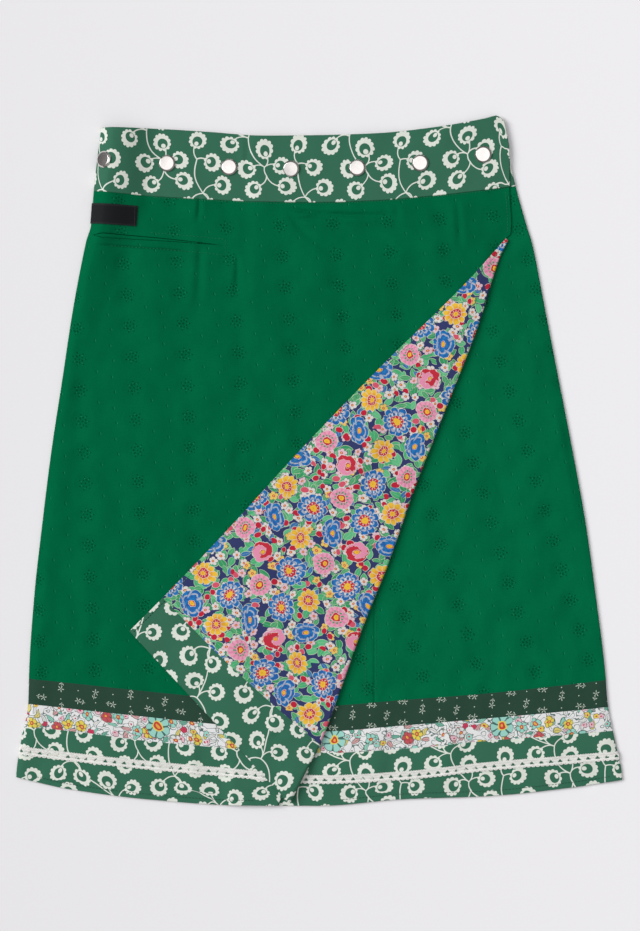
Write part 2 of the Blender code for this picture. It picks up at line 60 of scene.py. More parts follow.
# side folds seen from above and how high each soft fold stands, down the skirt
sideTable = {
    "y": [310.5, 299.7, 275.4, 243, 209.7, 196.2, 137.7, 72.9, 8.1, -56.7, -121.5, -186.3, -218.7, -251.1,
          -285.3, -310.5],
    "left": [-195.8, -196.7, -199.8, -203.4, -206.1, -210.2, -221.9, -231.8, -241.7, -249.8, -257, -261.5,
             -262.4, -268.7, -273.2, -273.2],
    "right": [158.9, 162.5, 170.1, 177.8, 187.2, 191.4, 203, 215.6, 228.2, 239.9, 248.9, 257, 259.7, 266,
              272.7, 273.2],
    "leftHump": [12.5, 12.8, 13, 12, 9.5, 8, 3.8, 1.6, 1, 1, 1, 1.1, 1.2, 1.3, 1.4, 1.4],
    "rightHump": [0, 0, 0, 0, 0, 0, 0.3, 0.5, 0.6, 0.6, 0.6, 0.7, 0.8, 0.9, 1, 1],
}
waistTable = {
    "x": [-204, -150, -100, -50, 0, 50, 100, 150, 160, 167, 180],
    "top": [299.7, 298.5, 295.7, 292.3, 292.7, 294.3, 299.4, 308, 310.5, 304.5, 303],
    "seam": [243.2, 238.6, 235.8, 233.6, 233.1, 234.7, 238.7, 244.4, 245.7, 246.6, 248.2],
}
hemTable = {
    "x": [-273, -225, -150, -75, 0, 75, 150, 225, 273],
    "body": [-194.9, -199.8, -207.9, -215.1, -220.5, -215.1, -209.3, -201.2, -195.3],
    "sprig": [-217.4, -222.8, -230.9, -238.5, -243.5, -238.1, -231.8, -225, -220.1],
    "floral": [-238.5, -243, -252.5, -258.9, -262.8, -259.2, -252, -246.2, -242.1],
    "edge": [-284.4, -295.2, -304.7, -309.6, -310.1, -304.2, -301.5, -293.9, -286.7],
    "lace": [-260.1, -266, -274.1, -280.8, -286.7, -283.1, -275, -268.7, -264.8],
}
frontTable = {
    "y": [310.5, 305.1, 275.4, 246.6, 212.4, 204.3, 180.9, 120.6, 69.3, -32, -89.1, -147.6, -217.8, -255,
          -280, -310.5],
    "x": [165, 166, 170.6, 170.6, 172.4, 171.5, 161.6, 142.7, 122.9, 83.3, 63.5, 40.1, 14.9, 0.8,
          -12.2, -27.4],
}
cornerTable = {
    "y": [204.3, 163.8, 83.7, 9, -64.8, -123.3, -153],
    "x": [171.5, 135.5, 54.5, -17.6, -85, -140.9, -170.6],
}
hiddenTable = {"y": [310.5, 0, -310.5], "x": [-52, -62, -75]}


def curveOf(knots, values):
    # monotone cubic: Hermite pieces whose slopes are the harmonic mean of their neighbours',
    # level past the ends
    knots = np.array(knots, dtype=float)
    values = np.array(values, dtype=float)
    order = np.argsort(knots)
    knots, values = knots[order], values[order]
    step = np.diff(knots)
    slope = np.diff(values) / step
    product = slope[:-1] * slope[1:]
    total = np.where(product > 0, slope[:-1] + slope[1:], 1.0)
    inner = np.where(product > 0, 2 * product / total, 0.0)
    tangent = np.concatenate([[slope[0]], inner, [slope[-1]]])

    def curve(at):
        at = np.clip(at, knots[0], knots[-1])
        k = np.clip(np.searchsorted(knots, at) - 1, 0, len(step) - 1)
        h = step[k]
        f = (at - knots[k]) / h
        return (values[k] * (1 + 2 * f) * (1 - f) ** 2 + values[k + 1] * f * f * (3 - 2 * f)
                + h * tangent[k] * f * (1 - f) ** 2 - h * tangent[k + 1] * f * f * (1 - f))

    return curve


def curvesOf(table, along):
    # one curve for each other row of a table, in the table's order
    return [curveOf(table[along], values) for name, values in table.items() if name != along]


leftFold, rightFold, leftHump, rightHump = curvesOf(sideTable, "y")
waistTop, waistSeam = curvesOf(waistTable, "x")
bodySeam, sprigSeam, floralSeam, hemEdge, laceMiddle = curvesOf(hemTable, "x")
[frontEdge] = curvesOf(frontTable, "y")
[cornerEdge] = curvesOf(cornerTable, "y")
[hiddenEdge] = curvesOf(hiddenTable, "y")


def shifted(curve, by):
    return lambda at: curve(at) + by


def smooth(low, high, at):
    # 0 below low, 1 above high, eased between: f f (3 - 2 f)
    f = np.clip((at - low) / (high - low), 0.0, 1.0)
    return f * f * (3 - 2 * f)


def bell(distance, width):
    # exp(-(d / w)^2)
    return np.exp(-((distance / width) ** 2))


def stacked(*fields):
    # numbers side by side as the last axis
    return np.stack(fields, axis=-1)


def unit(vectors):
    # each vector over its own length
    return vectors / np.maximum(np.linalg.norm(vectors, axis=-1, keepdims=True), 1e-12)


# creases, listed one by one: from x, y to x, y, sideways bend, width and height
# (a height below 0 is a trough between low ridges)
drapes = {
    "overlap": {
        "loft": 1.5, "uneven": 0.42,
        "creases": [
            (-108, 241, -109.5, 214, 0.5, 2.2, -2.2),
            (-107.5, 194, -111, 134, 1, 3.8, -2.6),
            (-74, 184, -74.5, 146, 0.4, 2.6, -2.2),
            (-170, 196, -173, 104, -2, 9, -2.6),
            (-213, 118, -228, -160, 2, 8, -1.5),
            (-30, 226, 14, 188, -4, 3.6, -1.9),
            (-31, 227, 68, 221.5, -2.5, 2.2, -3.6),
            (-18, 218, 22, 214.5, 1.5, 2.4, -2.6),
            (69.8, 231, 68, 205, 0.5, 3, -1.5),
            (60, 208, 118, 196, 3, 7, -2.4),
            (6, 142, 48, 130, 3, 8, -2.2),
            (123.5, 234, 126.5, 190, 0.5, 2.4, -2.4),
            (84, 200, 92, 140, 3, 12, -2.9),
            (-6, 190, -2, 128, 2, 14, 2.2),
            (-150, 60, -158, -150, -3, 17, 1.3),
            (-196, 20, -206, -180, 3, 13, 0.8),
            (-95, 100, -104, -90, 3, 18, 1.1),
            (-40, 40, -70, -30, 2, 12, -1.2),
            (-228, -100, -214, -168, 3, 7, -1.3),
            (-240, -90, -250, -214, 0, 48, 1.4),
            (-120, -150, -118, -212, 1, 8, 1.2),
            (-190, -226, -196, -292, 1, 9, 1.4),
            (-118, -246, -112, -300, 1.5, 6, 1.4),
            (-52, -256, -50, -304, -1, 7, 1.1),
            (60, 250, 66, 296, 1, 5, -1),
            (-64.5, 292, -66.5, 262, 0.5, 1.9, -2.2),
            (120, 252, 112, 300, 1, 6, 0.9),
            (-252, -284, -196, -289, 1, 1.7, -2.2),
            (-168, -291, -118, -297, -1, 1.7, -1.9),
            (-70, -297, -34, -301, 1, 1.8, -1.7),
            (-244, -274, -236, -300, 1, 3, -1.5),
        ],
    },
    "underlap": {
        "loft": 1.2, "uneven": 0.35,
        "creases": [
            (206, 52, 222, -60, 2, 24, 2.2),
            (126, 6, 134, -78, -3, 18, 1.5),
            (196, -150, 184, -205, 2, 12, -1.4),
            (150, -80, 156, -196, 3, 15, 1.2),
            (96, -110, 92, -206, 2, 12, -1),
            (64, -120, 60, -212, 0, 9, 0.7),
            (182, 128, 200, 40, 2, 6, 0.9),
            (118, -232, 112, -300, 1, 8, 1.4),
            (62, -240, 66, -300, 1, 7, -1.3),
            (206, -228, 210, -292, -1, 9, 1.4),
        ],
    },
    "flap": {
        "loft": 0.9, "uneven": 0.35,
        "creases": [
            (60, 60, 6, -40, 4, 13, 2.1),
            (-20, -30, -70, -140, -4, 16, 2.3),
            (30, -60, -20, -170, 5, 12, -2),
            (-110, -120, -60, -220, 3, 10, 1.5),
            (96, 120, 84, 84, 0, 8, 1.2),
            (-122, -106, -50, -183, 1, 1.6, -2.3),
            (-44, -250, -22, -238, 1, 3.4, -2),
            (-62, -262, -30, -262, 2, 5, 1.5),
        ],
    },
}


def crease(x, y, mark):
    # t runs along the line and d is the distance from it, bent as 4 b t (1 - t);
    # a ridge is h exp(-(d/w)^2), a trough h (exp(-(d/w)^2) - 0.8 exp(-(d/2.6w)^2)), both eased at their ends
    x0, y0, x1, y1, bend, width, height = mark
    run = np.array([x1 - x0, y1 - y0])
    length = np.linalg.norm(run)
    run = run / length
    t = ((x - x0) * run[0] + (y - y0) * run[1]) / length
    d = (x - x0) * -run[1] + (y - y0) * run[0] - 4 * bend * t * (1 - t)
    width = width * (1 + 0.5 * t)
    ridge = bell(d, width)
    if height < 0:
        ridge = ridge - 0.8 * bell(d, 2.6 * width)
    return height * ridge * smooth(-0.08, 0.22, t) * (1 - smooth(0.6, 1.1, t))


def relief(x, y, name, lofted=1.0):
    # loft and a slow unevenness of crossed sines, as far as the cloth is lofted there, and the creases
    look = drapes[name]
    uneven = (np.sin(x / 31 + 0.9 * np.sin(y / 47)) * np.sin(y / 43 + 1.7)
              + 0.6 * np.sin((x + 0.6 * y) / 19 + 0.4) * np.sin((y - 0.4 * x) / 29 + 2.1))
    height = (look["loft"] + look["uneven"] * uneven) * lofted
    for mark in look["creases"]:
        height = height + crease(x, y, mark)
    return np.maximum(height, 0.0)


def drapeOf(x, y, name, inSide, shown):
    # the relief eased out at a side fold, where the cloth isn't shown and at the hem's edge
    inHem = 0.25 + 0.75 * smooth(2.0, 30.0, y - hemEdge(x))
    lofted = smooth(0.0, 55.0, inSide)
    return relief(x, y, name, lofted) * shown * smooth(1.0, 10.0, inSide) * inHem


def overlapDrape(x, y):
    return drapeOf(x, y, "overlap", x - leftFold(y), smooth(2.0, 16.0, frontEdge(y) - x))


def underlapDrape(x, y):
    # only where the underlap shows, right of the overlap and of its turned-back fold
    return drapeOf(x, y, "underlap", rightFold(y) - x, smooth(6.0, 24.0, x - frontEdge(y)))


# heights of the layers
def overHidden(x, y, before, after):
    # 0 to 1 across the underlap's hidden front edge
    hidden = hiddenEdge(y)
    return smooth(hidden - before, hidden - after, x)


def overLace(x, y, run):
    raised = laceWidth / 2 + 0.8
    return 1.0 - smooth(raised, raised + run, y - laceMiddle(x))


def overlapLift(x, y):
    return overHidden(x, y, 15.0, 1.0) * (layerStep + laceLift * overLace(x, y, 8.0)) + overlapDrape(x, y)


def bandDimples(x, y):
    # the waistband sinks a little round each snap: -0.35 exp(-r^2 / 130)
    sink = np.zeros_like(x)
    for at in snaps["x"]:
        middle = (waistTop(at) + waistSeam(at)) / 2
        sink = sink - 0.35 * np.exp(-(((x - at) ** 2 + (y - middle) ** 2) / 130.0))
    return sink


def bandLift(x, y):
    return overHidden(x, y, 15.0, 1.0) * bandStep + overlapDrape(x, y) * 0.8 + bandDimples(x, y)


def underFlap(x, y):
    return overHidden(x, y, 48.0, 12.0) * (layerStep + laceLift * overLace(x, y, 16.0))


def flapRise(x, y):
    return layerStep + gap / 3 + (laceLift + gap) * overLace(x, y, 16.0)


def foldShape(hump, thick):
    # turn radius, crest and reach of a soft side fold, and where its turn meets the top cloth
    low = thick / 2
    flat = low + thick + gap
    turn = (flat - low) / 2 + 0.1 * hump
    outer = turn + thick / 2
    crest = 6.0 + 0.55 * hump
    reach = 20.0 + 2.7 * hump
    top = flat + hump
    lean = np.zeros_like(hump)
    for _ in range(6):
        joinS = outer - turn * np.sin(lean)
        joinZ = low + turn * (1 + np.cos(lean))
        slope = 1.5 * (top - joinZ) / (crest - joinS)
        lean = np.arctan(slope)
    return dict(low=low, flat=flat, turn=turn, outer=outer, crest=crest, reach=reach,
                top=top, lean=lean, joinS=joinS, joinZ=joinZ, slope=slope)


def topCloth(s, fold):
    # Hermite rise from the turn to the crest, then an eased fall to the flat
    run = fold["crest"] - fold["joinS"]
    f = np.clip((s - fold["joinS"]) / run, 0.0, 1.0)
    rise = (fold["joinZ"] * (1 + 2 * f) * (1 - f) ** 2 + fold["top"] * f * f * (3 - 2 * f)
            + run * fold["slope"] * f * (1 - f) ** 2)
    fall = smooth(fold["crest"], fold["reach"], s)
    return np.where(s < fold["crest"], rise, fold["top"] + (fold["flat"] - fold["top"]) * fall)


lipCount, turnCount, riseCount, fallCount = 4, 12, 8, 14  # points in each stretch of a fold
topFrom = lipCount + turnCount


def shares(count):
    return np.linspace(0, 1, count, endpoint=False)


def foldPath(hump, thick, rest):
    # one row: under-lip, half turn of a circle, rise, fall, and the flat rest
    fold = foldShape(hump, thick)
    lipS = lipLength + (fold["outer"] - lipLength) * shares(lipCount)
    lipZ = np.zeros_like(lipS) + fold["low"]
    angle = -math.pi / 2 + (math.pi - fold["lean"]) * shares(turnCount)
    turnS = fold["outer"] - fold["turn"] * np.cos(angle)
    turnZ = fold["low"] + fold["turn"] * (1 + np.sin(angle))
    riseS = fold["joinS"] + (fold["crest"] - fold["joinS"]) * shares(riseCount)
    fallS = fold["crest"] + (fold["reach"] - fold["crest"]) * shares(fallCount)
    upperS = np.concatenate([riseS, fallS, rest], axis=1)
    s = np.concatenate([lipS, turnS, upperS], axis=1)
    z = np.concatenate([lipZ, turnZ, topCloth(upperS, fold)], axis=1)
    return s, z


def rowCurve(top, bottom, share):
    return lambda x: top(x) * (1 - share) + bottom(x) * share


def endOfRow(row, edge, start):
    # where a row y(x) meets an edge x(y), by repeated substitution
    x = start
    for _ in range(8):
        x = edge(row(x))
    return x


def columnsBetween(row, spans, first):
    places = [first]
    for edge, count, inset in spans:
        here = places[-1][:, -1:]
        last = endOfRow(row, edge, here) - inset
        places.append(here + (last - here) * np.linspace(0, 1, count + 1)[1:])
    return np.concatenate(places, axis=1)


def arcAlong(grid):
    # distance run along each row
    steps = np.linalg.norm(np.diff(grid, axis=1), axis=2)
    return np.concatenate([np.zeros((len(grid), 1)), np.cumsum(steps, axis=1)], axis=1)


def foldedGrid(side, top, bottom, down, spans, thick, lift, follow=None, warp=None):
    # cloth that comes round a side fold (side 1 left, -1 right), its rows at shares of the way down, and its
    # pattern places: across = fold + distance run along the row, down = y, or y less the curve it follows
    share = down.reshape(-1, 1)
    row = rowCurve(top, bottom, share)
    edge = leftFold if side > 0 else rightFold
    hump = leftHump if side > 0 else rightHump
    start = endOfRow(row, edge, np.zeros_like(share))
    humpHere = hump(row(start))
    reach = foldShape(humpHere, thick)["reach"]
    rest = side * (columnsBetween(row, spans, start + side * reach) - start)
    s, z = foldPath(humpHere, thick, rest)
    x = start + side * s
    y = row(x)
    if warp is not None:
        y = y + warp(x, y, share)
    onTop = np.arange(s.shape[1]) >= topFrom
    grid = stacked(x, y, z + lift(x, y) * onTop)
    run = arcAlong(grid)
    turned = lipCount + turnCount // 2
    across = start + side * (run - run[:, turned:turned + 1])
    return grid, stacked(across, y if follow is None else y - follow(x))


def flatGrid(top, bottom, down, startEdge, spans, inset, height, follow=None):
    share = down.reshape(-1, 1)
    row = rowCurve(top, bottom, share)
    start = endOfRow(row, startEdge, np.zeros_like(share)) + inset
    x = columnsBetween(row, spans, start)
    y = row(x)
    return stacked(x, y, height(x, y)), stacked(x, y if follow is None else y - follow(x))


def gridNormals(grid):
    return unit(np.cross(np.gradient(grid, axis=0), np.gradient(grid, axis=1)))


def addObject(name, data):
    item = bpy.data.objects.new(name, data)
    bpy.context.scene.collection.objects.link(item)
    return item


# meshes from arrays
def meshFrom(name, points, faces, places, material, sharpAngle=38.0):
    # points in millimetres; a face row ends in -1 where it is a triangle; places are pattern coordinates
    corners = faces[faces >= 0]
    sizes = (faces >= 0).sum(axis=1)
    mesh = bpy.data.meshes.new(name)
    mesh.vertices.add(len(points))
    mesh.vertices.foreach_set("co", (points * mm).astype(np.float32).ravel())
    mesh.loops.add(len(corners))
    mesh.loops.foreach_set("vertex_index", corners.astype(np.int32))
    mesh.polygons.add(len(sizes))
    mesh.polygons.foreach_set("loop_start", np.concatenate([[0], np.cumsum(sizes)[:-1]]).astype(np.int32))
    mesh.update(calc_edges=True)
    layer = mesh.uv_layers.new(name="cloth")
    layer.data.foreach_set("uv", (places[corners] * mm).astype(np.float32).ravel())
    mesh.validate()
    mesh.shade_smooth()
    mesh.set_sharp_from_angle(angle=math.radians(sharpAngle))
    mesh.materials.append(material)
    return addObject(name, mesh)


def gridFaces(index):
    return stacked(index[:-1, :-1], index[1:, :-1], index[1:, 1:], index[:-1, 1:]).reshape(-1, 4)


def pointNormals(points, faces):
    # each point's normal is the sum of its faces' cross products of diagonals
    flat = np.cross(points[faces[:, 2]] - points[faces[:, 0]], points[faces[:, 3]] - points[faces[:, 1]])
    normals = np.zeros_like(points)
    for corner in range(4):
        np.add.at(normals, faces[:, corner], flat)
    return unit(normals)


def clothShell(name, points, faces, places, thick, material):
    # a closed wall: the middle points moved half the wall each way, with a rounded rim that stands out
    used, faces = np.unique(faces, return_inverse=True)
    faces = faces.reshape(-1, 4)
    points, places = points[used], places[used]
    count = len(points)
    normals = pointNormals(points, faces)
    corners = np.roll(faces, -1, axis=1)
    pairs = stacked(faces.T.ravel(), corners.T.ravel())
    key = pairs.min(axis=1) * count + pairs.max(axis=1)
    values, first, times = np.unique(key, return_index=True, return_counts=True)
    rim = pairs[first[times == 1]]
    outward = unit(np.cross(points[rim[:, 1]] - points[rim[:, 0]], normals[rim[:, 0]]))
    push = np.zeros_like(points)
    np.add.at(push, rim[:, 0], outward)
    np.add.at(push, rim[:, 1], outward)
    rimPoints = np.unique(rim)
    push = unit(push[rimPoints])
    middle = np.zeros(count, dtype=np.int64)
    middle[rimPoints] = 2 * count + np.arange(len(rimPoints))
    a, b = rim[:, 0], rim[:, 1]
    upper = stacked(b, a, middle[a], middle[b])
    lower = stacked(middle[b], middle[a], a + count, b + count)
    allPoints = np.concatenate([points + normals * thick / 2, points - normals * thick / 2,
                                points[rimPoints] + push * thick * 0.42])
    allFaces = np.concatenate([faces, faces[:, ::-1] + count, upper, lower])
    allPlaces = np.concatenate([places, places, places[rimPoints]])
    return meshFrom(name, allPoints, allFaces, allPlaces, material)


def indexOf(grid):
    return np.arange(grid.shape[0] * grid.shape[1]).reshape(grid.shape[:2])


tubeSides = 5


def withApex(ring, following, apex):
    # triangles from one ring to a single point; the fourth number marks a triangle
    return stacked(apex, ring, following, ring * 0 - 1).reshape(-1, 4)


def tubes(paths, normals, radius):
    # a round section carried along each path: centre + r (cos a side + sin a up), its ends drawn to a point
    paths = np.asarray(paths, dtype=float)
    along = unit(np.gradient(paths, axis=1))
    side = unit(np.cross(along, normals))
    up = np.cross(side, along)
    sides = tubeSides
    angle = np.arange(sides) / sides * 2 * math.pi
    size = np.full(paths.shape[1], 1.0)
    size[0] = size[-1] = 0.0
    ring = (np.cos(angle)[:, None] * side[:, :, None, :] + np.sin(angle)[:, None] * up[:, :, None, :])
    points = paths[:, :, None, :] + ring * (radius * size)[None, :, None, None]
    many, steps = paths.shape[:2]
    index = np.arange(many * steps * sides).reshape(many, steps, sides)
    index[:, 0] = index[:, 0, :1]
    index[:, -1] = index[:, -1, :1]
    following = np.roll(index, -1, axis=2)
    faces = stacked(index[:, :-1], index[:, 1:], following[:, 1:], following[:, :-1])
    body = faces[:, 1:-1].reshape(-1, 4)
    start = withApex(index[:, 1], following[:, 1], index[:, 0])
    end = stacked(index[:, -2], index[:, -1], following[:, -2], index[:, -1] * 0 - 1).reshape(-1, 4)
    return points.reshape(-1, 3), np.concatenate([body, start, end])


def dropUnused(points, faces):
    used, flat = np.unique(faces[faces >= 0], return_inverse=True)
    faces = faces.copy()
    faces[faces >= 0] = flat
    return points[used], faces


def threadMesh(name, bundles, material):
    # several bundles of tubes as one piece
    allPoints, allFaces, count = [], [], 0
    for points, faces in bundles:
        points, faces = dropUnused(points, faces)
        allFaces.append(np.where(faces >= 0, faces + count, -1))
        allPoints.append(points)
        count += len(points)
    points = np.concatenate(allPoints)
    return meshFrom(name, points, np.concatenate(allFaces), points[:, :2], material, 70.0)


def stitches(path, normals, pitch=2.9, length=2.3, radius=0.24):
    # short tubes along a path, one each pitch, bowed so their ends dip into the cloth: 0.32 (1 - t^2) - 0.1
    steps = np.linalg.norm(np.diff(path, axis=0), axis=1)
    run = np.concatenate([[0], np.cumsum(steps)])
    centres = np.arange(pitch / 2, run[-1], pitch)[:, None]
    t = np.linspace(-1, 1, 7)[None, :]
    at = np.clip(centres + t * length / 2, 0, run[-1])
    place, up = (stacked(*(np.interp(at, run, field[:, k]) for k in range(3))) for field in (path, normals))
    return tubes(place + up * (0.32 * (1 - t ** 2) - 0.1)[:, :, None], up, radius)


# shader arithmetic
def operator(operation, swapped=False):
    # a method that puts its signal and the other values through one Math node
    def apply(self, *others):
        return self.look.math(operation, *((*others, self) if swapped else (self, *others)))
    return apply


class Signal:
    # a socket in an expression: on numbers an operation adds a Math node, on vectors a Vector Math node
    def __init__(self, look, socket):
        self.look = look
        self.socket = socket

    __add__ = __radd__ = operator("ADD")
    __sub__ = operator("SUBTRACT")
    __rsub__ = operator("SUBTRACT", True)
    __mul__ = __rmul__ = operator("MULTIPLY")
    __truediv__ = operator("DIVIDE")
    __pow__ = operator("POWER")
    __abs__ = operator("ABSOLUTE")
    __lt__ = operator("LESS_THAN")
    __and__ = operator("MINIMUM")
    __or__ = operator("MAXIMUM")
    sine = operator("SINE")
    cosine = operator("COSINE")
    arctan = operator("ARCTAN2")
    fract = operator("FRACT")
    floor = operator("FLOOR")
    timesPlus = operator("MULTIPLY_ADD")
    dot = operator("DOT_PRODUCT")
    distance = operator("DISTANCE")
    length = operator("LENGTH")


class Look:
    # the nodes of one material, or of the world
    def __init__(self, name, store=bpy.data.materials):
        self.material = store.new(name)
        self.material.use_nodes = True
        self.tree = self.material.node_tree
        self.tree.nodes.clear()

    def node(self, kind, settings=None, inputs=None, output=0):
        made = self.tree.nodes.new(kind)
        for name, value in (settings or {}).items():
            if name == "stops":
                ramp = made.color_ramp
                ramp.interpolation = "CONSTANT"
                while len(ramp.elements) < len(value):
                    ramp.elements.new(1.0)
                for element, (place, colour) in zip(ramp.elements, value):
                    element.position = place
                    element.color = (*colourOf(*colour), 1.0)
            else:
                setattr(made, name, value)
        for name, value in (inputs or {}).items():
            socket = made.inputs[name]
            if isinstance(value, Signal):
                self.tree.links.new(value.socket, socket)
            elif socket.type == "VECTOR" and not hasattr(value, "__len__"):
                socket.default_value = (value, value, value)
            elif socket.type == "RGBA":
                socket.default_value = (*value[:3], 1.0)
            else:
                socket.default_value = value
        return Signal(self, made.outputs[output])

    def math(self, operation, *values, clamp=False):
        signals = [value for value in values if isinstance(value, Signal)]
        vector = any(signal.socket.type == "VECTOR" for signal in signals)
        if not vector:
            return self.node("ShaderNodeMath", {"operation": operation, "use_clamp": clamp},
                             dict(enumerate(values)))
        numbers = [signal for signal in signals if signal.socket.type == "VALUE"]
        if operation == "MULTIPLY" and numbers:
            way = [signal for signal in signals if signal.socket.type == "VECTOR"][0]
            return self.node("ShaderNodeVectorMath", {"operation": "SCALE"}, {0: way, "Scale": numbers[0]})
        output = int(operation in ("DOT_PRODUCT", "LENGTH", "DISTANCE"))
        return self.node("ShaderNodeVectorMath", {"operation": operation}, dict(enumerate(values)), output)

    def part(self, signal, output):
        return Signal(self, signal.socket.node.outputs[output])

    def split(self, vector):
        x = self.node("ShaderNodeSeparateXYZ", None, {0: vector})
        return x, self.part(x, 1), self.part(x, 2)

    def join(self, x, y, z=0.0):
        return self.node("ShaderNodeCombineXYZ", None, {0: x, 1: y, 2: z})

    def blend(self, share, first, second, kind="MIX"):
        settings = {"data_type": "RGBA", "blend_type": kind}
        return self.node("ShaderNodeMix", settings, {0: share, 6: first, 7: second}, 2)

    def choose(self, share, first, second):
        return self.node("ShaderNodeMix", {"data_type": "VECTOR"}, {0: share, 4: first, 5: second}, 1)

    def inside(self, distance, soft=0.12):
        # 1 where a signed distance is below 0, with a soft edge: clamp(0.5 - d / soft)
        return self.math("MULTIPLY_ADD", distance, -1.0 / soft, 0.5, clamp=True)

    def paint(self, colour, distance, tone, share=None, soft=0.15):
        # a tone laid over a colour inside a signed distance
        cover = self.inside(distance, soft)
        return self.blend(cover if share is None else cover * share, colour, tone)

    def places(self):
        # pattern coordinates in millimetres, from the piece's own map
        return self.node("ShaderNodeUVMap", {"uv_map": "cloth"}) * 1000.0

    def objectPlaces(self):
        return self.node("ShaderNodeTexCoord", None, None, 3)

    def noise(self, places, size, detail=2.0, rough=0.5):
        return self.node("ShaderNodeTexNoise", {"noise_dimensions": "3D"},
                         {"Vector": places, "Scale": 1.0 / size, "Detail": detail, "Roughness": rough})

    def cells(self, places, size, spread, shift):
        # scattered centres: the vector from the nearest one, and three random numbers of its own
        moved = places + shift
        found = self.node("ShaderNodeTexVoronoi", {"voronoi_dimensions": "2D", "feature": "F1"},
                          {"Vector": moved, "Scale": 1.0 / size, "Randomness": spread})
        chance = self.node("ShaderNodeSeparateColor", None, {0: self.part(found, "Color")})
        centre = self.part(found, "Position")
        return moved - centre, chance, self.part(chance, 1), self.part(chance, 2)

    def turned(self, vector, angle):
        return self.node("ShaderNodeVectorRotate", {"rotation_type": "Z_AXIS"},
                         {"Vector": vector, "Angle": angle})

    def polar(self, vector):
        x, y, z = self.split(vector)
        return (x * x + y * y) ** 0.5, y.arctan(x)

    def bump(self, height, depth, strength=0.5, under=None):
        # a bump of so many millimetres, over another where there is one
        inputs = {"Strength": strength, "Distance": depth * mm, "Height": height}
        if under is not None:
            inputs["Normal"] = under
        return self.node("ShaderNodeBump", None, inputs)

    def out(self, shader, kind="Material"):
        output = self.tree.nodes.new(f"ShaderNodeOutput{kind}")
        self.tree.links.new(shader.socket, output.inputs["Surface"])
        return self.material

    def finish(self, colour, rough, normal=None, **plain):
        inputs = {"Base Color": colour, "Roughness": rough, **plain}
        if normal is not None:
            inputs["Normal"] = normal
        return self.out(self.node("ShaderNodeBsdfPrincipled", None, inputs))


def colourOf(red, green, blue):
    # a screen colour of 0 to 255 as linear light: ((c + 0.055) / 1.055)^2.4, or c / 12.92 when dark
    parts = np.array([red, green, blue]) / 255.0
    linear = np.where(parts > 0.04045, ((parts + 0.055) / 1.055) ** 2.4, parts / 12.92)
    return tuple(float(part) for part in linear)


weave = {"yarn": 0.5, "depth": 0.06, "cloud": 26.0, "slow": 34.0, "rough": 0.72, "sheen": 0.1,
         "sheenRough": 0.45}


def clothFinish(look, places, colour, mottle=0.1, relief=None, tint=(1.0, 1.0, 1.0), shine=0.08,
                pucker=0.5, swell=0.0):
    # plain weave: height = sin(pi x / yarn) sin(pi y / yarn), with slubs along and across;
    # the colour is mottled by slow noise, partly as dyed cotton is and partly as painted shade of soft
    # undulations, and puckers are a slower bump of their own
    x, y, z = look.split(places)
    warp, weft = ((way * (math.pi / weave["yarn"])).sine() for way in (x, y))
    slubAlong = look.noise(places * (2.2, 0.16, 1.0), 1.6)
    slubAcross = look.noise(places * (0.16, 2.2, 1.0), 1.6)
    cloud = look.noise(places, weave["cloud"], 3.0)
    shade = (cloud - 0.5) * mottle + (slubAlong + slubAcross - 1.0) * (mottle * 0.7) + 1.0
    tinted = look.blend(1.0, colour, look.join(shade, shade, shade), "MULTIPLY")
    height = warp * weft * 0.5 + (slubAlong + slubAcross) * 0.8
    if relief is not None:
        height = height + relief
    slow = look.noise(places * (1.0, 0.8, 1.0), weave["slow"], 1.0) * 6.0 + swell
    normal = look.bump(height, weave["depth"], 0.6, look.bump(slow, pucker, 1.0))
    return look.finish(tinted, cloud.timesPlus(0.2, weave["rough"]), normal, **{
        "Specular IOR Level": shine, "Sheen Weight": weave["sheen"], "Sheen Roughness": weave["sheenRough"],
        "Sheen Tint": (*tint, 1.0)})


# green cotton with tone-on-tone embroidered eyelet rosettes
embroidery = {
    "overlapOrigin": (-76.95, 209.7), "overlapAcross": (48.25, 2.05), "overlapDown": (1.47, -27.98),
    "underlapOrigin": (130.95, 25.2), "underlapAcross": (48.15, 10.9), "underlapDown": (7.88, -26.9),
    "overlapStagger": 0.0, "underlapStagger": 0.33,
    "ring": 3.3, "eyelets": 7, "eyelet": 0.68, "outer": 5.7,
    "ticks": [(0.32, 0.42), (0.64, 0.1), (0.6, 0.62)],
    # hole: painted shade seen in the eyelets and beside the stitches; thread: the embroidery's darker green,
    # deepened as painted pucker shade; glint: a painted highlight
    "overlapCloth": (1, 98, 61), "underlapCloth": (2, 102, 64), "hole": (0, 52, 34), "thread": (2, 86, 54),
    "glint": (34, 132, 92),
}


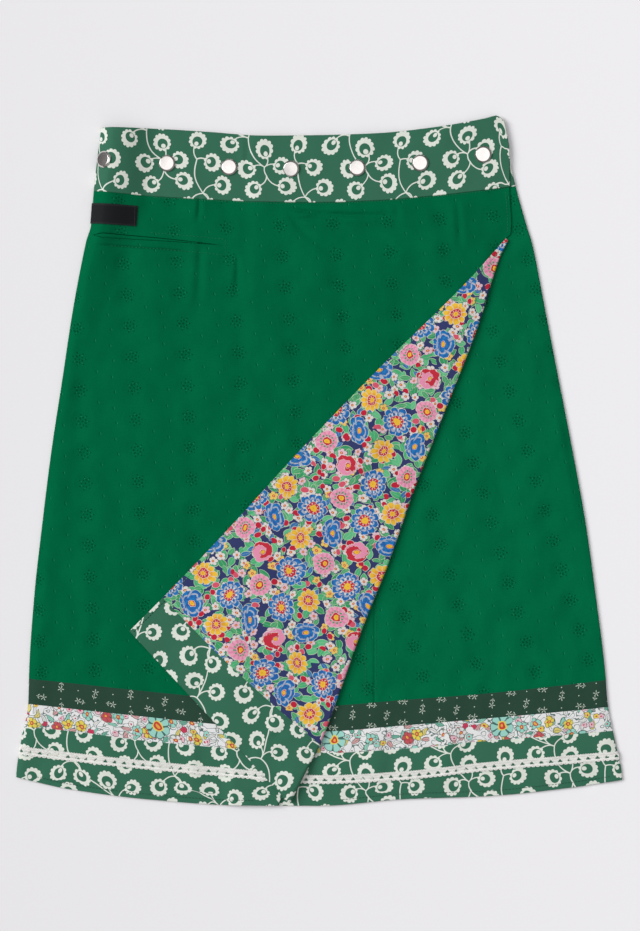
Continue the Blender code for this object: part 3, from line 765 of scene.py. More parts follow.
def rosettes(look, places, origin, across, down, stagger):
    # a leaning lattice: q solves p = origin + qx across + qy down; the rest from the nearest knot is local
    a, b = np.array(across), np.array(down)
    area = a[0] * b[1] - a[1] * b[0]
    moved = places - (*origin, 0.0)
    qx = moved.dot((b[1] / area, -b[0] / area, 0.0))
    qy = moved.dot((-a[1] / area, a[0] / area, 0.0))
    if stagger:
        qy = qy - (qx < -0.5) * stagger

    def local(alongX, alongY):
        fx = (qx + (0.5 - alongX)).fract() - 0.5
        fy = (qy + (0.5 - alongY)).fract() - 0.5
        return look.join(fx * a[0] + fy * b[0], fx * a[1] + fy * b[1])

    mark = embroidery
    ring, eyelet = mark["ring"], mark["eyelet"]
    jitter = look.noise(places, 2.2, 1.0)
    r, angle = look.polar(local(0.0, 0.0) + look.join(jitter * 2.2 - 1.1, 1.1 - jitter * 2.2))
    share = mark["eyelets"] / (2 * math.pi)
    turn = ((angle * share).fract() - 0.5) / share
    turnHalf = ((angle * share + 0.5).fract() - 0.5) / share
    hole = ((r - ring) ** 2 + (turn * r) ** 2) ** 0.5 - eyelet
    outer = ((r - mark["outer"]) ** 2 * 0.5 + (turnHalf * r) ** 2) ** 0.5 - eyelet * 0.75
    # the eyelets are painted dark: painted shade inside the holes
    holes = look.inside(hole & outer & (r - eyelet * 1.1), 0.35)
    # the satin ring: the thread's own darker green, deepened as painted pucker shade
    petals = look.inside(abs(r - ring) - 1.9, 1.2) * (0.55 + 0.45 * (angle * 8.0).cosine())
    # painted highlights: small light dots between the inner and outer eyelets
    glint = ((r - (ring + mark["outer"]) / 2) ** 2 + (turnHalf * r) ** 2) ** 0.5 - eyelet * 0.55
    # short upright stitches between the rosettes, each a painted shade mark with a painted highlight beside
    # it, as raised thread lit from one side
    marks = []
    for alongX, alongY in mark["ticks"]:
        tx, ty, tz = look.split(local(alongX, alongY))
        lean = tx + ty * 0.22
        long = (ty * 0.36) ** 2
        marks.append([((lean + 0.45) ** 2 + long) ** 0.5 - 0.5, ((lean - 0.5) ** 2 + long) ** 0.5 - 0.34])
    dark, tickHighlight = (nearestOf(some) for some in zip(*marks))
    # a soft shade round each rosette and down its column, where the stitching pulls the cloth in
    fx = (qx + 0.5).fract() - 0.5
    halo = look.inside(r - 6.5, 9.0) + look.inside(abs(fx) * 48.0 - 9.0, 16.0) * 0.4
    # the painted shade marks join the eyelets, the painted highlights join the glints
    return holes | (look.inside(dark, 0.4) * 0.7), petals, look.inside(glint & tickHighlight, 0.4), halo


def greenCloth(name, layer):
    look = Look(name)
    places = look.places()
    mark = embroidery
    green = dict(tint=(0.0, 0.6, 0.3), shine=0.01)
    if layer is None:
        return clothFinish(look, places, colourOf(*mark["overlapCloth"]), **green)
    lattice = [mark[layer + part] for part in ("Origin", "Across", "Down", "Stagger")]
    holes, threadsAndShade, glints, halo = rosettes(look, places, *lattice)
    colour = look.blend(halo * 0.02, colourOf(*mark[layer + "Cloth"]), (0.0, 0.0, 0.0))
    # painted shade in the eyelets, the satin ring's thread tone with painted pucker shade, and painted
    # highlights as glints
    for share, tone in ((threadsAndShade * 0.22, "thread"), (holes * 0.64, "hole"), (glints * 0.75, "glint")):
        colour = look.blend(share, colour, colourOf(*mark[tone]))
    relief = threadsAndShade * 3.0 + glints * 3.0 - holes * 6.0
    # the stronger mottle on the green: partly dye, partly painted shade of its soft undulations
    return clothFinish(look, places, colour, mottle=0.2, relief=relief, pucker=1.0, swell=halo * -0.8,
                       **green)


# mid green cotton with cream ring flowers on curved stems, in a layout of its own
ringPrint = {
    "tile": (92.0, 78.0), "radius": 8.3, "scallops": 12, "notch": 1.6, "hole": 4.6, "holeShift": 1.3,
    "dot": 2.0, "dotShift": 3.6, "stem": 0.52,
    "ground": (53, 106, 83), "cream": (219, 224, 214),
    # x and y of a flower, the knot its stem leaves from, and the stem's bend to the left
    "flowers": [(7, 6, -7, 9, 1.5), (38, 3, 54, 6, -2.5), (70, 7, 54, 6, 2.5), (23, 24, 39, 32, -3.0),
                (54, 22, 54, 6, -2.5), (86, 26, 85, 9, 2.5), (6, 44, -2, 56, 2.2), (29, 46, 39, 32, 2.5),
                (53, 41, 39, 32, 2.6), (76, 45, 90, 56, -2.5), (16, 65, -2, 56, 3.0), (44, 62, 56, 76, 2.5),
                (74, 66, 56, 76, -3.0)],
    # long stems from knot to knot
    "stems": [(39, 32, 54, 6, -4.0), (39, 32, -2, 56, 2.5), (90, 56, 85, 87, 3.5), (56, 76, 54, 84, 0.8)],
}


def nearestCopy(look, places, centre, tile, third=0.0):
    # from the nearest copy of a place in a repeat: T fract((p - c) / T + 0.5) - T / 2, its third number set
    (tx, ty), (cx, cy) = tile, centre
    scaled = places.timesPlus((1 / tx, 1 / ty, 0.0), (0.5 - cx / tx, 0.5 - cy / ty, 0.0))
    return look.math("FRACTION", scaled).timesPlus((tx, ty, 0.0), (-tx / 2, -ty / 2, third))


def stemDistance(look, places, tile, stem, half):
    # an arc through both ends: centre (c^2 - b^2) / 2b behind the bend; distance | |p - centre| - R | - half,
    # kept to the chord's length
    x0, y0, x1, y1, bend = stem
    start, end = np.array([x0, y0]), np.array([x1, y1])
    chord = np.linalg.norm(end - start)
    along = (end - start) / chord
    left = np.array([-along[1], along[0]])
    radius = (chord * chord / 4 + bend * bend) / (2 * abs(bend))
    centre = -left * math.copysign(radius - abs(bend), bend)
    local = nearestCopy(look, places, (start + end) / 2, tile)
    ring = abs(local.distance((*centre, 0.0)) - radius) - half
    side = local.dot((*left, 0.0)) * math.copysign(1.0, bend)
    run = abs(local.dot((*along, 0.0))) - chord / 2
    return ring | run | (-1.5 - side)


def nearestOf(distances):
    # the least of several signed distances
    best = None
    for one in distances:
        best = one if best is None else best & one
    return best


def nearestOfCopies(look, pattern, tile, flowers, far):
    # of several places in a repeat, the vector from the one within reach: x, y, third number and reach
    best = far
    for x, y, third, reach in flowers:
        local = nearestCopy(look, pattern, (x, y), tile, third)
        best = look.choose(local.dot(local) < reach ** 2, best, local)
    return best


def ringCloth(name, shift, turn=0.0):
    look = Look(name)
    places = look.places()
    mark = ringPrint
    wander = look.noise(places, 34.0, 1.0)
    drift = look.noise(places + (40.0, 9.0, 0.0), 30.0, 1.0)
    pattern = look.turned(places + shift, turn) + look.join(wander * 7.0, drift * 7.0)
    flowers, lines = [], list(mark["stems"])
    for x, y, knotX, knotY, bend in mark["flowers"]:
        way = math.atan2(knotY - y, knotX - x) - bend * 0.12
        reach = mark["dotShift"]
        flowers.append((x, y, way * 0.001, mark["radius"] + 1.5))
        lines.append((knotX, knotY, x + reach * math.cos(way), y + reach * math.sin(way), bend))
    best = nearestOfCopies(look, pattern, mark["tile"], flowers, (60.0, 60.0, 0.0))
    stems = nearestOf(stemDistance(look, pattern, mark["tile"], stem, mark["stem"]) for stem in lines)
    x, y, z = look.split(best)
    way = z * 1000.0
    toDot = look.join(way.cosine(), way.sine())
    flat = look.join(x, y)
    r, angle = look.polar(flat)
    scallop = abs(((angle - way) * (mark["scallops"] / 2.0)).cosine()) ** 0.6
    petals = r - (mark["radius"] - mark["notch"] + scallop * mark["notch"])
    hole = flat.distance(toDot * mark["holeShift"]) - mark["hole"]
    dot = flat.distance(toDot * mark["dotShift"]) - mark["dot"]
    flower = (petals | (0.0 - hole)) & dot
    outside = mark["radius"] - 0.6 - r
    printed = flower & (stems | outside)
    colour = look.paint(colourOf(*mark["ground"]), printed, colourOf(*mark["cream"]), None, 0.16)
    return clothFinish(look, places, colour)


# dark green cotton with small cream sprigs in staggered rows, dots between them
sprigPrint = {
    "step": 31.5, "row": 9.2, "ground": (41, 69, 56), "cream": (190, 200, 186), "dot": 0.5, "rays": 5,
    # steps along, rows down, turn
    "sprigs": [(0.0, 0, 0.3), (0.5, 1, 1.7), (1.0, 0, 3.3), (1.5, 1, 4.9)],
}


def sprigCloth(name, shift):
    look = Look(name)
    places = look.places()
    mark = sprigPrint
    step, row = mark["step"], mark["row"]
    pattern = places + shift
    share = mark["rays"] / (2 * math.pi)
    shapes = []
    for across, down, way in mark["sprigs"]:
        local = look.turned(nearestCopy(look, pattern, (across * step, down * row), (2 * step, 2 * row)), way)
        r, angle = look.polar(local)
        ray = ((angle * share).fract() - 0.5) / share
        lx, ly, lz = look.split(local + (0.0, 4.4, 0.0))
        out = abs(lx) - 1.3
        shapes.append((((r - 1.9) ** 2 * 0.1 + (ray * r) ** 2) ** 0.5 - 0.36) & (r - 0.45))
        shapes.append((((out + ly) * 0.27) ** 2 + ((out - ly) * 0.8) ** 2) ** 0.5 - 0.4)
        shapes.append((abs(lx) - 0.18) | (abs(ly) - 2.0))
    for across, down in ((0.5, 0), (0.0, 1)):
        local = nearestCopy(look, pattern, (across * step, down * row), (step, 2 * row))
        shapes.append(local.length() - mark["dot"])
    colour = look.paint(colourOf(*mark["ground"]), nearestOf(shapes), colourOf(*mark["cream"]), None, 0.2)
    return clothFinish(look, places, colour)


def drawFlowers(look, colour, places, mark):
    # flowers of one size, scattered or at set places of a repeat; the scattered ones take their petals'
    # colour from their own random number; the rim is r - R (1 - depth + depth |cos(n a / 2)|^0.6)
    if "at" in mark:
        flowers = [(*centre, 0.0, mark["radius"] + 1.0) for centre in mark["at"]]
        local = nearestOfCopies(look, places, mark["tile"], flowers, (70.0, 70.0, 0.0))
        kind, shown, spare = 0.0, 1.0, 0.06
    else:
        local, kind, chance, spare = look.cells(places, mark["size"], mark["spread"], mark["shift"])
        shown = chance < mark["share"]
    r, angle = look.polar(look.turned(local, spare * 6.28))
    half, radius, depth = mark["petals"] / 2.0, mark["radius"], mark["depth"]
    rim = r - radius * (1 - depth) - abs((angle * half).cosine()) ** 0.6 * (radius * depth)
    line = colourOf(*mark["line"])
    petals = look.node("ShaderNodeValToRGB", {"stops": mark["colours"]}, {0: kind})
    streak = look.inside(abs((angle * half).sine()) * -1.0 + 0.93, 0.1) * look.inside(2.0 - r, 1.5)
    petals = look.blend(streak * mark["streak"], petals, line)
    colour = look.paint(colour, rim - mark["outline"], line, shown)
    colour = look.paint(colour, rim, petals, shown)
    for reach, tone in mark["centre"]:
        colour = look.paint(colour, r - reach, colourOf(*tone), shown)
    return colour


def drawLeaves(look, colour, places, mark):
    # pointed leaves: |y| < w (1 - (x / L)^2) about each scattered centre, turned at random
    local, kind, chance, spare = look.cells(places, mark["size"], mark["spread"], mark["shift"])
    x, y, z = look.split(look.turned(local, spare * 6.28))
    body = abs(y) + (x * x) * (mark["width"] / mark["length"] ** 2) - mark["width"]
    shown = chance < mark["share"]
    line = colourOf(*mark["line"])
    leaf = look.node("ShaderNodeValToRGB", {"stops": mark["colours"]}, {0: kind})
    colour = look.paint(colour, body - mark["outline"], line, shown)
    colour = look.paint(colour, body, leaf, shown)
    return look.paint(colour, (abs(y) - 0.16) | body, line, shown * mark["vein"], 0.12)


leafShape = {"spread": 0.85, "length": 4.4, "outline": 0.4, "line": (188, 204, 172), "vein": 0.35}
bloomShape = {"spread": 0.9, "petals": 5, "streak": 0.0}


# pale cotton crowded with mint, pink and yellow ditsy flowers and leaves, all in thin dark outlines
pale, inkLine = (226, 227, 227), (38, 80, 72)
paleFloral = {
    "ground": pale, "scroll": 8.0,
    "leaves": {**leafShape, "size": 8, "shift": (3, 1, 0), "share": 0.72, "width": 1.7,
               "outline": 0.46, "line": inkLine, "vein": 0.8,
               "colours": [(0, (146, 202, 184)), (0.3, (112, 172, 152)), (0.42, (222, 222, 220)),
                           (0.74, (216, 200, 118)), (0.9, (208, 158, 158))]},
    "small": {**bloomShape, "size": 8.4, "shift": (41, 17, 0), "share": 0.44, "radius": 2.6,
              "depth": 0.3, "outline": 0.4, "line": (100, 66, 74), "centre": [(0.8, (186, 56, 84))],
              "colours": [(0, (222, 184, 194)), (0.4, (196, 62, 90)), (0.56, (220, 196, 88)),
                          (0.68, (220, 222, 220)), (0.84, (150, 208, 194))]},
    "middle": {**bloomShape, "size": 15, "shift": (19, 37, 0), "share": 0.46, "radius": 4.8,
               "depth": 0.24, "outline": 0.42, "line": (76, 80, 62), "streak": 0.7,
               "centre": [(1.9, (182, 74, 70)), (0.9, (224, 172, 76))],
               "colours": [(0, (222, 202, 88)), (0.4, (150, 208, 194)), (0.62, (190, 84, 92)),
                           (0.74, (218, 221, 219))]},
    "large": {"tile": (152, 64), "at": [(24, 20), (104, 42)], "radius": 10.8,
              "petals": 7, "depth": 0.2, "outline": 0.5, "line": inkLine, "streak": 0.9,
              "centre": [(4.4, (222, 202, 92)), (3.1, (192, 70, 60)), (1.3, (226, 160, 66))],
              "colours": [(0, (152, 206, 194))]},
}


def paleFloralCloth(name, shift):
    look = Look(name)
    places = look.places()
    pattern = places + shift
    wander = look.noise(pattern, paleFloral["scroll"], 1.0)
    scroll = abs(abs(wander - 0.5) - 0.07) - 0.015
    colour = look.paint(colourOf(*paleFloral["ground"]), scroll, colourOf(*inkLine), 0.9, 0.014)
    bent = pattern + look.join(wander * 5.0, wander * -5.0)
    colour = drawLeaves(look, colour, bent, paleFloral["leaves"])
    for size in ("small", "middle", "large"):
        colour = drawFlowers(look, colour, bent, paleFloral[size])
    return clothFinish(look, places, colour, mottle=0.06)


# navy lining crowded with flowers of like colours and size, in a layout of its own
creamLine, navy = (210, 206, 199), (50, 58, 102)
liningFloral = {
    "ground": navy, "line": creamLine, "tile": (116.0, 108.0),
    "leaves": {**leafShape, "size": 8.2, "shift": (2, 5, 0), "share": 0.85, "length": 5.2, "width": 2.8,
               "colours": [(0, (74, 170, 114)), (0.45, (54, 148, 96)), (0.75, (96, 184, 130))]},
    "more": {**leafShape, "size": 7.2, "spread": 0.9, "shift": (61, 33, 0), "share": 0.4, "width": 2.1,
             "colours": [(0, (76, 160, 108)), (0.65, (56, 112, 170))]},
    "blossoms": {**bloomShape, "size": 9, "spread": 0.75, "shift": (47, 11, 0), "share": 0.55, "radius": 3.9,
                 "depth": 0.36, "outline": 0.3, "line": navy, "streak": 0.25,
                 "centre": [(1.2, (190, 58, 78)), (0.6, (226, 186, 80))],
                 "colours": [(0, (216, 210, 204)), (0.6, (220, 188, 196)), (0.82, (226, 190, 96))]},
    "berries": {**bloomShape, "size": 6.6, "spread": 0.8, "shift": (23, 71, 0), "share": 0.24, "radius": 2.7,
                "petals": 2, "depth": 0.12, "outline": 0.35, "line": creamLine,
                "centre": [(0, (206, 60, 80))], "colours": [(0, (186, 36, 58)), (0.8, (206, 84, 104))]},
    # x, y, turn in degrees, kind: 0 pink daisy, 1 yellow flower, 2 blue aster, 3 pink and red rose,
    # 4 blue bloom
    "flowers": [(12, 14, 10, 0), (40, 8, 40, 1), (71, 15, 80, 2), (101, 10, 20, 3), (25, 40, 120, 2),
                (55, 40, 15, 0), (85, 43, 65, 1), (114, 41, 35, 4), (9, 68, 33, 1), (39, 69, 200, 3),
                (67, 66, 50, 4), (95, 70, 77, 2), (22, 93, 140, 4), (54, 94, 10, 2), (82, 95, 300, 0)],
    "radius": (9.6, 10.0, 12.8, 9.2, 12.8), "petals": (12, 10, 10, 5, 7),
    "depth": (0.08, 0.22, 0.18, 0.12, 0.16),
    "pink": (222, 140, 170), "blush": (230, 170, 190), "rosy": (196, 92, 130), "gold": (230, 184, 60),
    "amber": (222, 150, 44), "blue": (34, 118, 184), "deep": (40, 84, 154), "red": (190, 46, 62),
    "leaf": (76, 150, 108),
}


def liningCloth(name, shift):
    look = Look(name)
    places = look.places()
    mark = liningFloral
    wander = look.noise(places, 24.0, 1.0)
    pattern = places + shift + look.join(wander * 9.0, wander * -7.0)
    colour = colourOf(*mark["ground"])
    for leaves in ("leaves", "more"):
        colour = drawLeaves(look, colour, pattern, mark[leaves])
    for flowers in ("blossoms", "berries"):
        colour = drawFlowers(look, colour, pattern, mark[flowers])
    flowers = [(x, y, 0.01 * kind + math.radians(way) * 0.001, mark["radius"][kind] + 1.8)
               for x, y, way, kind in mark["flowers"]]
    x, y, z = look.split(nearestOfCopies(look, pattern, mark["tile"], flowers, (70.0, 70.0, 0.0)))
    kind = (z * 100.0).floor()
    way = (z - kind * 0.01) * 1000.0
    isKind = [look.math("COMPARE", kind, float(k), 0.3) for k in range(5)]
    radius, count, depth = (sum(isKind[k] * float(mark[row][k]) for k in range(5))
                            for row in ("radius", "petals", "depth"))

    # the blue bloom is seen from the side: squeezed across, its rays from a point near its foot
    fx, fy, fz = look.split(look.turned(look.join(x, y), way * -1.0))
    side = isKind[4]
    rayR, rayAngle = look.polar(look.join(fx, fy * (side * 0.35 + 1.0) + side * 5.5))
    r, angle = look.polar(look.join(fx, fy * (side * 0.42 + 1.0)))
    wobble = look.noise(places, 3.0, 2.0) - 0.5
    r = r + wobble * 3.0
    angle = look.choose(side, look.join(angle, 0.0), look.join(rayAngle, 0.0))
    angle = look.split(angle)[0] + wobble * 0.25
    wave = abs((angle * count * 0.5).cosine())
    rim = r - radius * (1.0 - depth + depth * wave ** 0.6)
    split = look.inside(wave - 0.2, 0.15) * look.inside(3.4 - r, 0.8)
    line, pink, blush, rosy, gold, amber, blue, deep, red, leaf = (
        colourOf(*mark[tone]) for tone in
        ("line", "pink", "blush", "rosy", "gold", "amber", "blue", "deep", "red", "leaf"))
    colour = look.paint(colour, rim - 0.45, line)

    petals = look.paint(pink, 0.7 - wave, blush, 0.6, 0.3)
    petals = look.blend(isKind[0] * split * 0.3, petals, rosy)
    yellows = look.paint(gold, r - 6.6, amber, 0.8, 1.6)
    yellows = look.blend(split * 0.85, yellows, line)
    petals = look.blend(isKind[1], petals, yellows)
    blues = look.paint(blue, wobble - 0.02, deep, 0.7, 0.1)
    ragged = look.inside(abs(r - 7.4 - wave * 1.6) - 0.8, 0.4) * look.inside(0.45 - wave, 0.3)
    strokes = look.inside(wave - 0.3, 0.15) * look.inside(abs(r - 8.8) - 2.6, 0.8) * side
    blues = look.blend((ragged | strokes) * 0.6, blues, line)
    blues = look.blend(split * isKind[2] * look.inside(9.0 - r, 2.0) * 0.8, blues, line)
    petals = look.blend(isKind[2] | side, petals, blues)
    swirl = (angle + r * 0.5 + wobble * 2.0).sine()
    rose = look.paint(pink, swirl - 0.1, red, None, 0.25)
    rose = look.paint(rose, abs(swirl - 0.1) - 0.12, line, 0.8, 0.1)
    petals = look.blend(isKind[3], petals, rose)
    colour = look.paint(colour, rim, petals)

    # centres: dotted ring, red ring and yellow eye
    def dots(ring, half, count, gaps):
        beads = (angle * count).cosine() * -1.0 + gaps
        return look.inside(abs(ring) - half, 0.2) * look.inside(beads, 0.3)

    dotted = dots(r - 5.2 - isKind[2] * 1.7, 0.9, 12.0, 0.1)
    colour = look.blend(dotted * (isKind[0] | isKind[2]), colour, look.blend(isKind[0], line, leaf))
    core = r - (3.6 + isKind[1] * 0.8 + isKind[2] * 1.9 - isKind[3] * 1.6 - side * 0.9)
    colour = look.paint(colour, core - 0.35, line)
    colour = look.paint(colour, core, red)
    speck = dots(r - 2.8 - isKind[2] * 1.2, 0.6, 9.0, 0.4)
    colour = look.blend(speck * (isKind[1] | isKind[2]) * 0.8, colour, line)
    colour = look.paint(colour, r - 2.1 - isKind[2] * 0.9 + isKind[3] * 0.6, gold)
    colour = look.paint(colour, r - 0.8, amber, 0.7)
    return clothFinish(look, places, colour, mottle=0.06)


def laceCotton():
    look = Look("laceCotton")
    places = look.objectPlaces() * 1000.0
    twist = look.noise(places, 0.7, 2.0)
    cloud = look.noise(places, 9.0, 2.0)
    colour = look.blend(cloud * 0.3 + twist * 0.3, colourOf(250, 250, 246), colourOf(226, 226, 220))
    return look.finish(colour, cloud.timesPlus(0.1, 0.82), look.bump(twist, 0.1), **{
        "Specular IOR Level": 0.15, "Sheen Weight": 0.2, "Sheen Roughness": 0.5})


def thread(name, tone):
    look = Look(name)
    twist = look.noise(look.objectPlaces() * 1000.0, 0.5, 1.0)
    dark = tuple(part * 0.62 for part in colourOf(*tone))
    colour = look.blend(twist * 0.7, colourOf(*tone), dark)
    return look.finish(colour, twist.timesPlus(0.2, 0.5), look.bump(twist, 0.06),
                       **{"Specular IOR Level": 0.3})


# blank woven label: dark twill tape with a narrow border
labelTape = {"ground": (22, 23, 26), "border": (40, 42, 46), "length": 40.6, "height": 17.9, "top": 231.8,
             "wall": 0.6}


def labelCloth():
    look = Look("labelTape")
    places = look.places()
    x, y, z = look.split(places)
    twill = ((x + y * 2.0) * (math.pi / 0.42)).sine()
    cloud = look.noise(places, 6.0, 2.0)
    half = labelTape["height"] / 2
    rim = look.inside(abs(y + half) * -1.0 + (half - 1.4), 0.3)
    ground, border = colourOf(*labelTape["ground"]), colourOf(*labelTape["border"])
    colour = look.blend(rim * 0.5 + cloud * 0.15, ground, border)
    return look.finish(colour, cloud.timesPlus(0.2, 0.55), look.bump(twill * 0.5 + cloud, 0.07),
                       **{"Specular IOR Level": 0.12})


def nickel():
    look = Look("nickel")
    places = look.objectPlaces() * 1000.0
    scuffs = look.noise(places * (1.0, 5.0, 1.0), 3.0, 4.0, 0.6)
    colour = look.blend(look.noise(places, 4.0, 2.0), colourOf(226, 222, 219), colourOf(205, 200, 197))
    return look.finish(colour, scuffs.timesPlus(0.08, 0.09), look.bump(scuffs, 0.01, 0.04), Metallic=1.0)


print("materials")
looks = {
    "overlapGreen": greenCloth("greenOverlap", "overlap"),
    "underlapGreen": greenCloth("greenUnderlap", "underlap"),
    "plainGreen": greenCloth("greenPlain", None),
    "waistRings": ringCloth("ringsWaist", (0.0, 30.0, 0.0)),
    "hemRingsLeft": ringCloth("ringsHemLeft", (31.0, 4.0, 0.0)),
    "hemRingsRight": ringCloth("ringsHemRight", (9.0, 37.0, 0.0)),
    "facingRings": ringCloth("ringsFacing", (20.0, 11.0, 0.0), math.pi / 2),
    "sprigLeft": sprigCloth("sprigLeft", (12.0, 6.0, 0.0)),
    "sprigRight": sprigCloth("sprigRight", (3.0, 11.0, 0.0)),
    "paleLeft": paleFloralCloth("paleFloralLeft", (14.0, 30.0, 0.0)),
    "paleRight": paleFloralCloth("paleFloralRight", (90.0, 52.0, 0.0)),
    "lining": liningCloth("liningFloral", (0.0, 0.0, 0.0)),
    "lace": laceCotton(),
    "label": labelCloth(),
    "nickel": nickel(),
    "greenThread": thread("greenThread", (20, 120, 80)),
    "darkThread": thread("darkThread", (18, 66, 48)),
    "palerThread": thread("palerThread", (112, 150, 120)),
    "labelThread": thread("labelThread", (58, 62, 66)),
}
made = {}


def finishPiece(item, node, slotName):
    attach(item, "root")
    if node:
        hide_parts(node)
    made[item.name] = item


def addCloth(node, grid, places, thick, look, slotName, faces=None, name=None):
    # a shell on a grid of middle points, in place of the solid
    faces = gridFaces(indexOf(grid)) if faces is None else faces
    item = clothShell(name or f"{node}_cloth", grid.reshape(-1, 3), faces, places.reshape(-1, 2), thick,
                      looks[look])
    finishPiece(item, node, slotName)


def addThreads(name, bundles, look, slotName, node=None):
    finishPiece(threadMesh(name, bundles, looks[look]), node, slotName)


def sharesFor(height, step):
    # even shares down a piece, with closer rows beside its seams
    inner = np.linspace(0, 1, max(3, int(round(height / step))) + 1)
    close = np.array(besideRows) / height
    return np.unique(np.concatenate([inner, close, 1 - close]))


def seamDitch(grid, top, bottom, onTop=topFrom):
    # cloth dips at a sewn seam: -depth exp(-(d / dip)^2) from the seam's curve
    x, y = grid[:, :, 0], grid[:, :, 1]
    dip = np.zeros_like(x)
    for curve in (top, bottom):
        if curve is not None:
            dip = dip + bell(y - curve(x), seamDip)
    grid[:, onTop:, 2] -= (seamDepth * dip)[:, onTop:]


def betweenSeams(top, bottom):
    return shifted(top, -seamGap), shifted(bottom, seamGap)


rampStart, rampEnd = shifted(hiddenEdge, -17.0), shifted(hiddenEdge, -0.5)


def besideSeam(by):
    return lambda y: np.zeros_like(y) + underlapSeamX + by


def inUnderlapSeam(x):
    # the same dip along the underlap's upright seam, deeper
    return uprightDepth * bell(x - underlapSeamX, seamDip)


def foldSlope(y):
    return (frontEdge(y + 1.0) - frontEdge(y - 1.0)) / 2.0


def foldNormal(y):
    slope = foldSlope(y)
    size = np.sqrt(1 + slope ** 2)
    return stacked(1 / size, -slope / size)


def flapShare(y):
    return smooth(0.0, flapGrow, apexY - y)


def lipSpan(y):
    return flapLipStart + (flapLip - flapLipStart) * flapShare(y)


def overlapEnd(y):
    # the overlap's cloth stops short of the turned-back corner's lip
    outer = (layerStep + laceLift + flapPuff * flapShare(y)) / 2 + cloth / 2
    room = (outer + lipSpan(y) + 3 * gap) * np.sqrt(1 + foldSlope(y) ** 2)
    return frontEdge(y) - room * smooth(0.0, apexRun, apexY - y)


def overlapHeight(x, y):
    return topCloth(x - leftFold(y), foldShape(leftHump(y), cloth)) + overlapLift(x, y)


def bandHeight(x, y):
    return topCloth(x - leftFold(y), foldShape(leftHump(y), doubled)) + bandLift(x, y)


def underlapHeight(x, y):
    return topCloth(rightFold(y) - x, foldShape(rightHump(y), cloth)) + underlapDrape(x, y)


def onSurface(x, y, height):
    # points on the shown cloth's outside over a surface z(x, y) and its normals, from differences
    # half a millimetre each way
    z = height(x, y)
    dx = height(x + 0.5, y) - height(x - 0.5, y)
    dy = height(x, y + 0.5) - height(x, y - 0.5)
    normal = unit(stacked(-dx, -dy, np.ones_like(z)))
    return stacked(x, y, z) + normal * shell / 2, normal


# the back, hidden but for its edges: flat, with low creases of its own
back = {
    "step": 6.0, "columns": 84, "wall": 1.1, "bandWall": 1.5, "inset": lipLength + gap + 0.1,
    "creases": [(-120, 150, -150, -120, 6, 12, 0.4), (40, 180, 60, -90, -5, 14, 0.4),
                (150, 90, 170, -170, 4, 12, 0.4), (-30, 60, -60, -200, 3, 10, 0.35),
                (-60, 200, 80, 190, 2, 7, 0.3)],
}


def backHeight(thick):
    return lambda x, y: np.zeros_like(x) + thick / 2 + sum(crease(x, y, mark) for mark in back["creases"])


# strips sewn round the hem: node, the curves above and below, height, look and slot
hemBands = [
    ("sprig_band", bodySeam, sprigSeam, 22.5, "sprig", "sprig_print"),
    ("floral_band", sprigSeam, floralSeam, 20.0, "pale", "floral_print"),
    ("hem_band", floralSeam, hemEdge, 46.0, "hemRings", "scallop_print"),
]


def buildBack():
    wall, inset = back["wall"], back["inset"]
    pieces = [
        ("waistband", shifted(waistTop, -backInset), waistSeam, back["bandWall"], "waistRings",
         "scallop_print", bandTall),
        ("panel", waistSeam, bodySeam, wall, "plainGreen", "green_cloth", panelHeight),
        ("sprig_band", bodySeam, sprigSeam, wall, "sprigRight", "sprig_print", 22),
        ("floral_band", sprigSeam, floralSeam, wall, "paleRight", "floral_print", 20),
        ("hem_band", floralSeam, shifted(hemEdge, backInset), wall, "hemRingsRight", "scallop_print", 45),
    ]
    for name, top, bottom, thick, look, slotName, height in pieces:
        grid, places = flatGrid(*betweenSeams(top, bottom), sharesFor(height, back["step"]), leftFold,
                                [(rightFold, back["columns"], inset)], inset, backHeight(thick),
                                None if name == "panel" else top)
        addCloth(f"back_{name}", grid, places, thick, look, slotName)


# small tucks pressed into the hem: from x, y to x, y, and how much cloth each one hides
tucks = [(-262, -285, -205, -289.5, 3.4), (-176, -291.5, -150, -293, 2.6), (-140, -294, -88, -300, 3.6),
         (-236, -262, -212, -264, 1.6), (-64, -298, -36, -301, 2.6), (36, -299, 78, -297, 2.2)]


def hiddenCloth(x, y):
    # how far the print has moved on below each tuck: its cloth times an eased step across the line
    total = np.zeros_like(x)
    for x0, y0, x1, y1, hidden in tucks:
        share = (x - x0) / (x1 - x0)
        below = 1 - smooth(-0.7, 0.7, y - (y0 + (y1 - y0) * share))
        total = total + hidden * below * smooth(0.0, 0.2, share) * (1 - smooth(0.8, 1.0, share))
    return total


def hemStrips(prefix, side, spans, lift, lookSide):
    for name, top, bottom, height, look, slotName in hemBands:
        grid, places = foldedGrid(side, *betweenSeams(top, bottom), sharesFor(height, 1.7), spans,
                                  cloth, lift, follow=top)
        seamDitch(grid, top, None if name == "hem_band" else bottom)
        places[:, :, 1] -= hiddenCloth(grid[:, :, 0], grid[:, :, 1])
        addCloth(f"{prefix}_{name}", grid, places, shell, look + lookSide, slotName)


# columns of the underlap's strips: to its seam, then to its hidden edge
underlapSpans = [(besideSeam(0.0), 56, 0.0), (hiddenEdge, 36, 0.0)]


def underlapFront(x, y):
    return layerStep + cloth / 2 + underlapDrape(x, y)


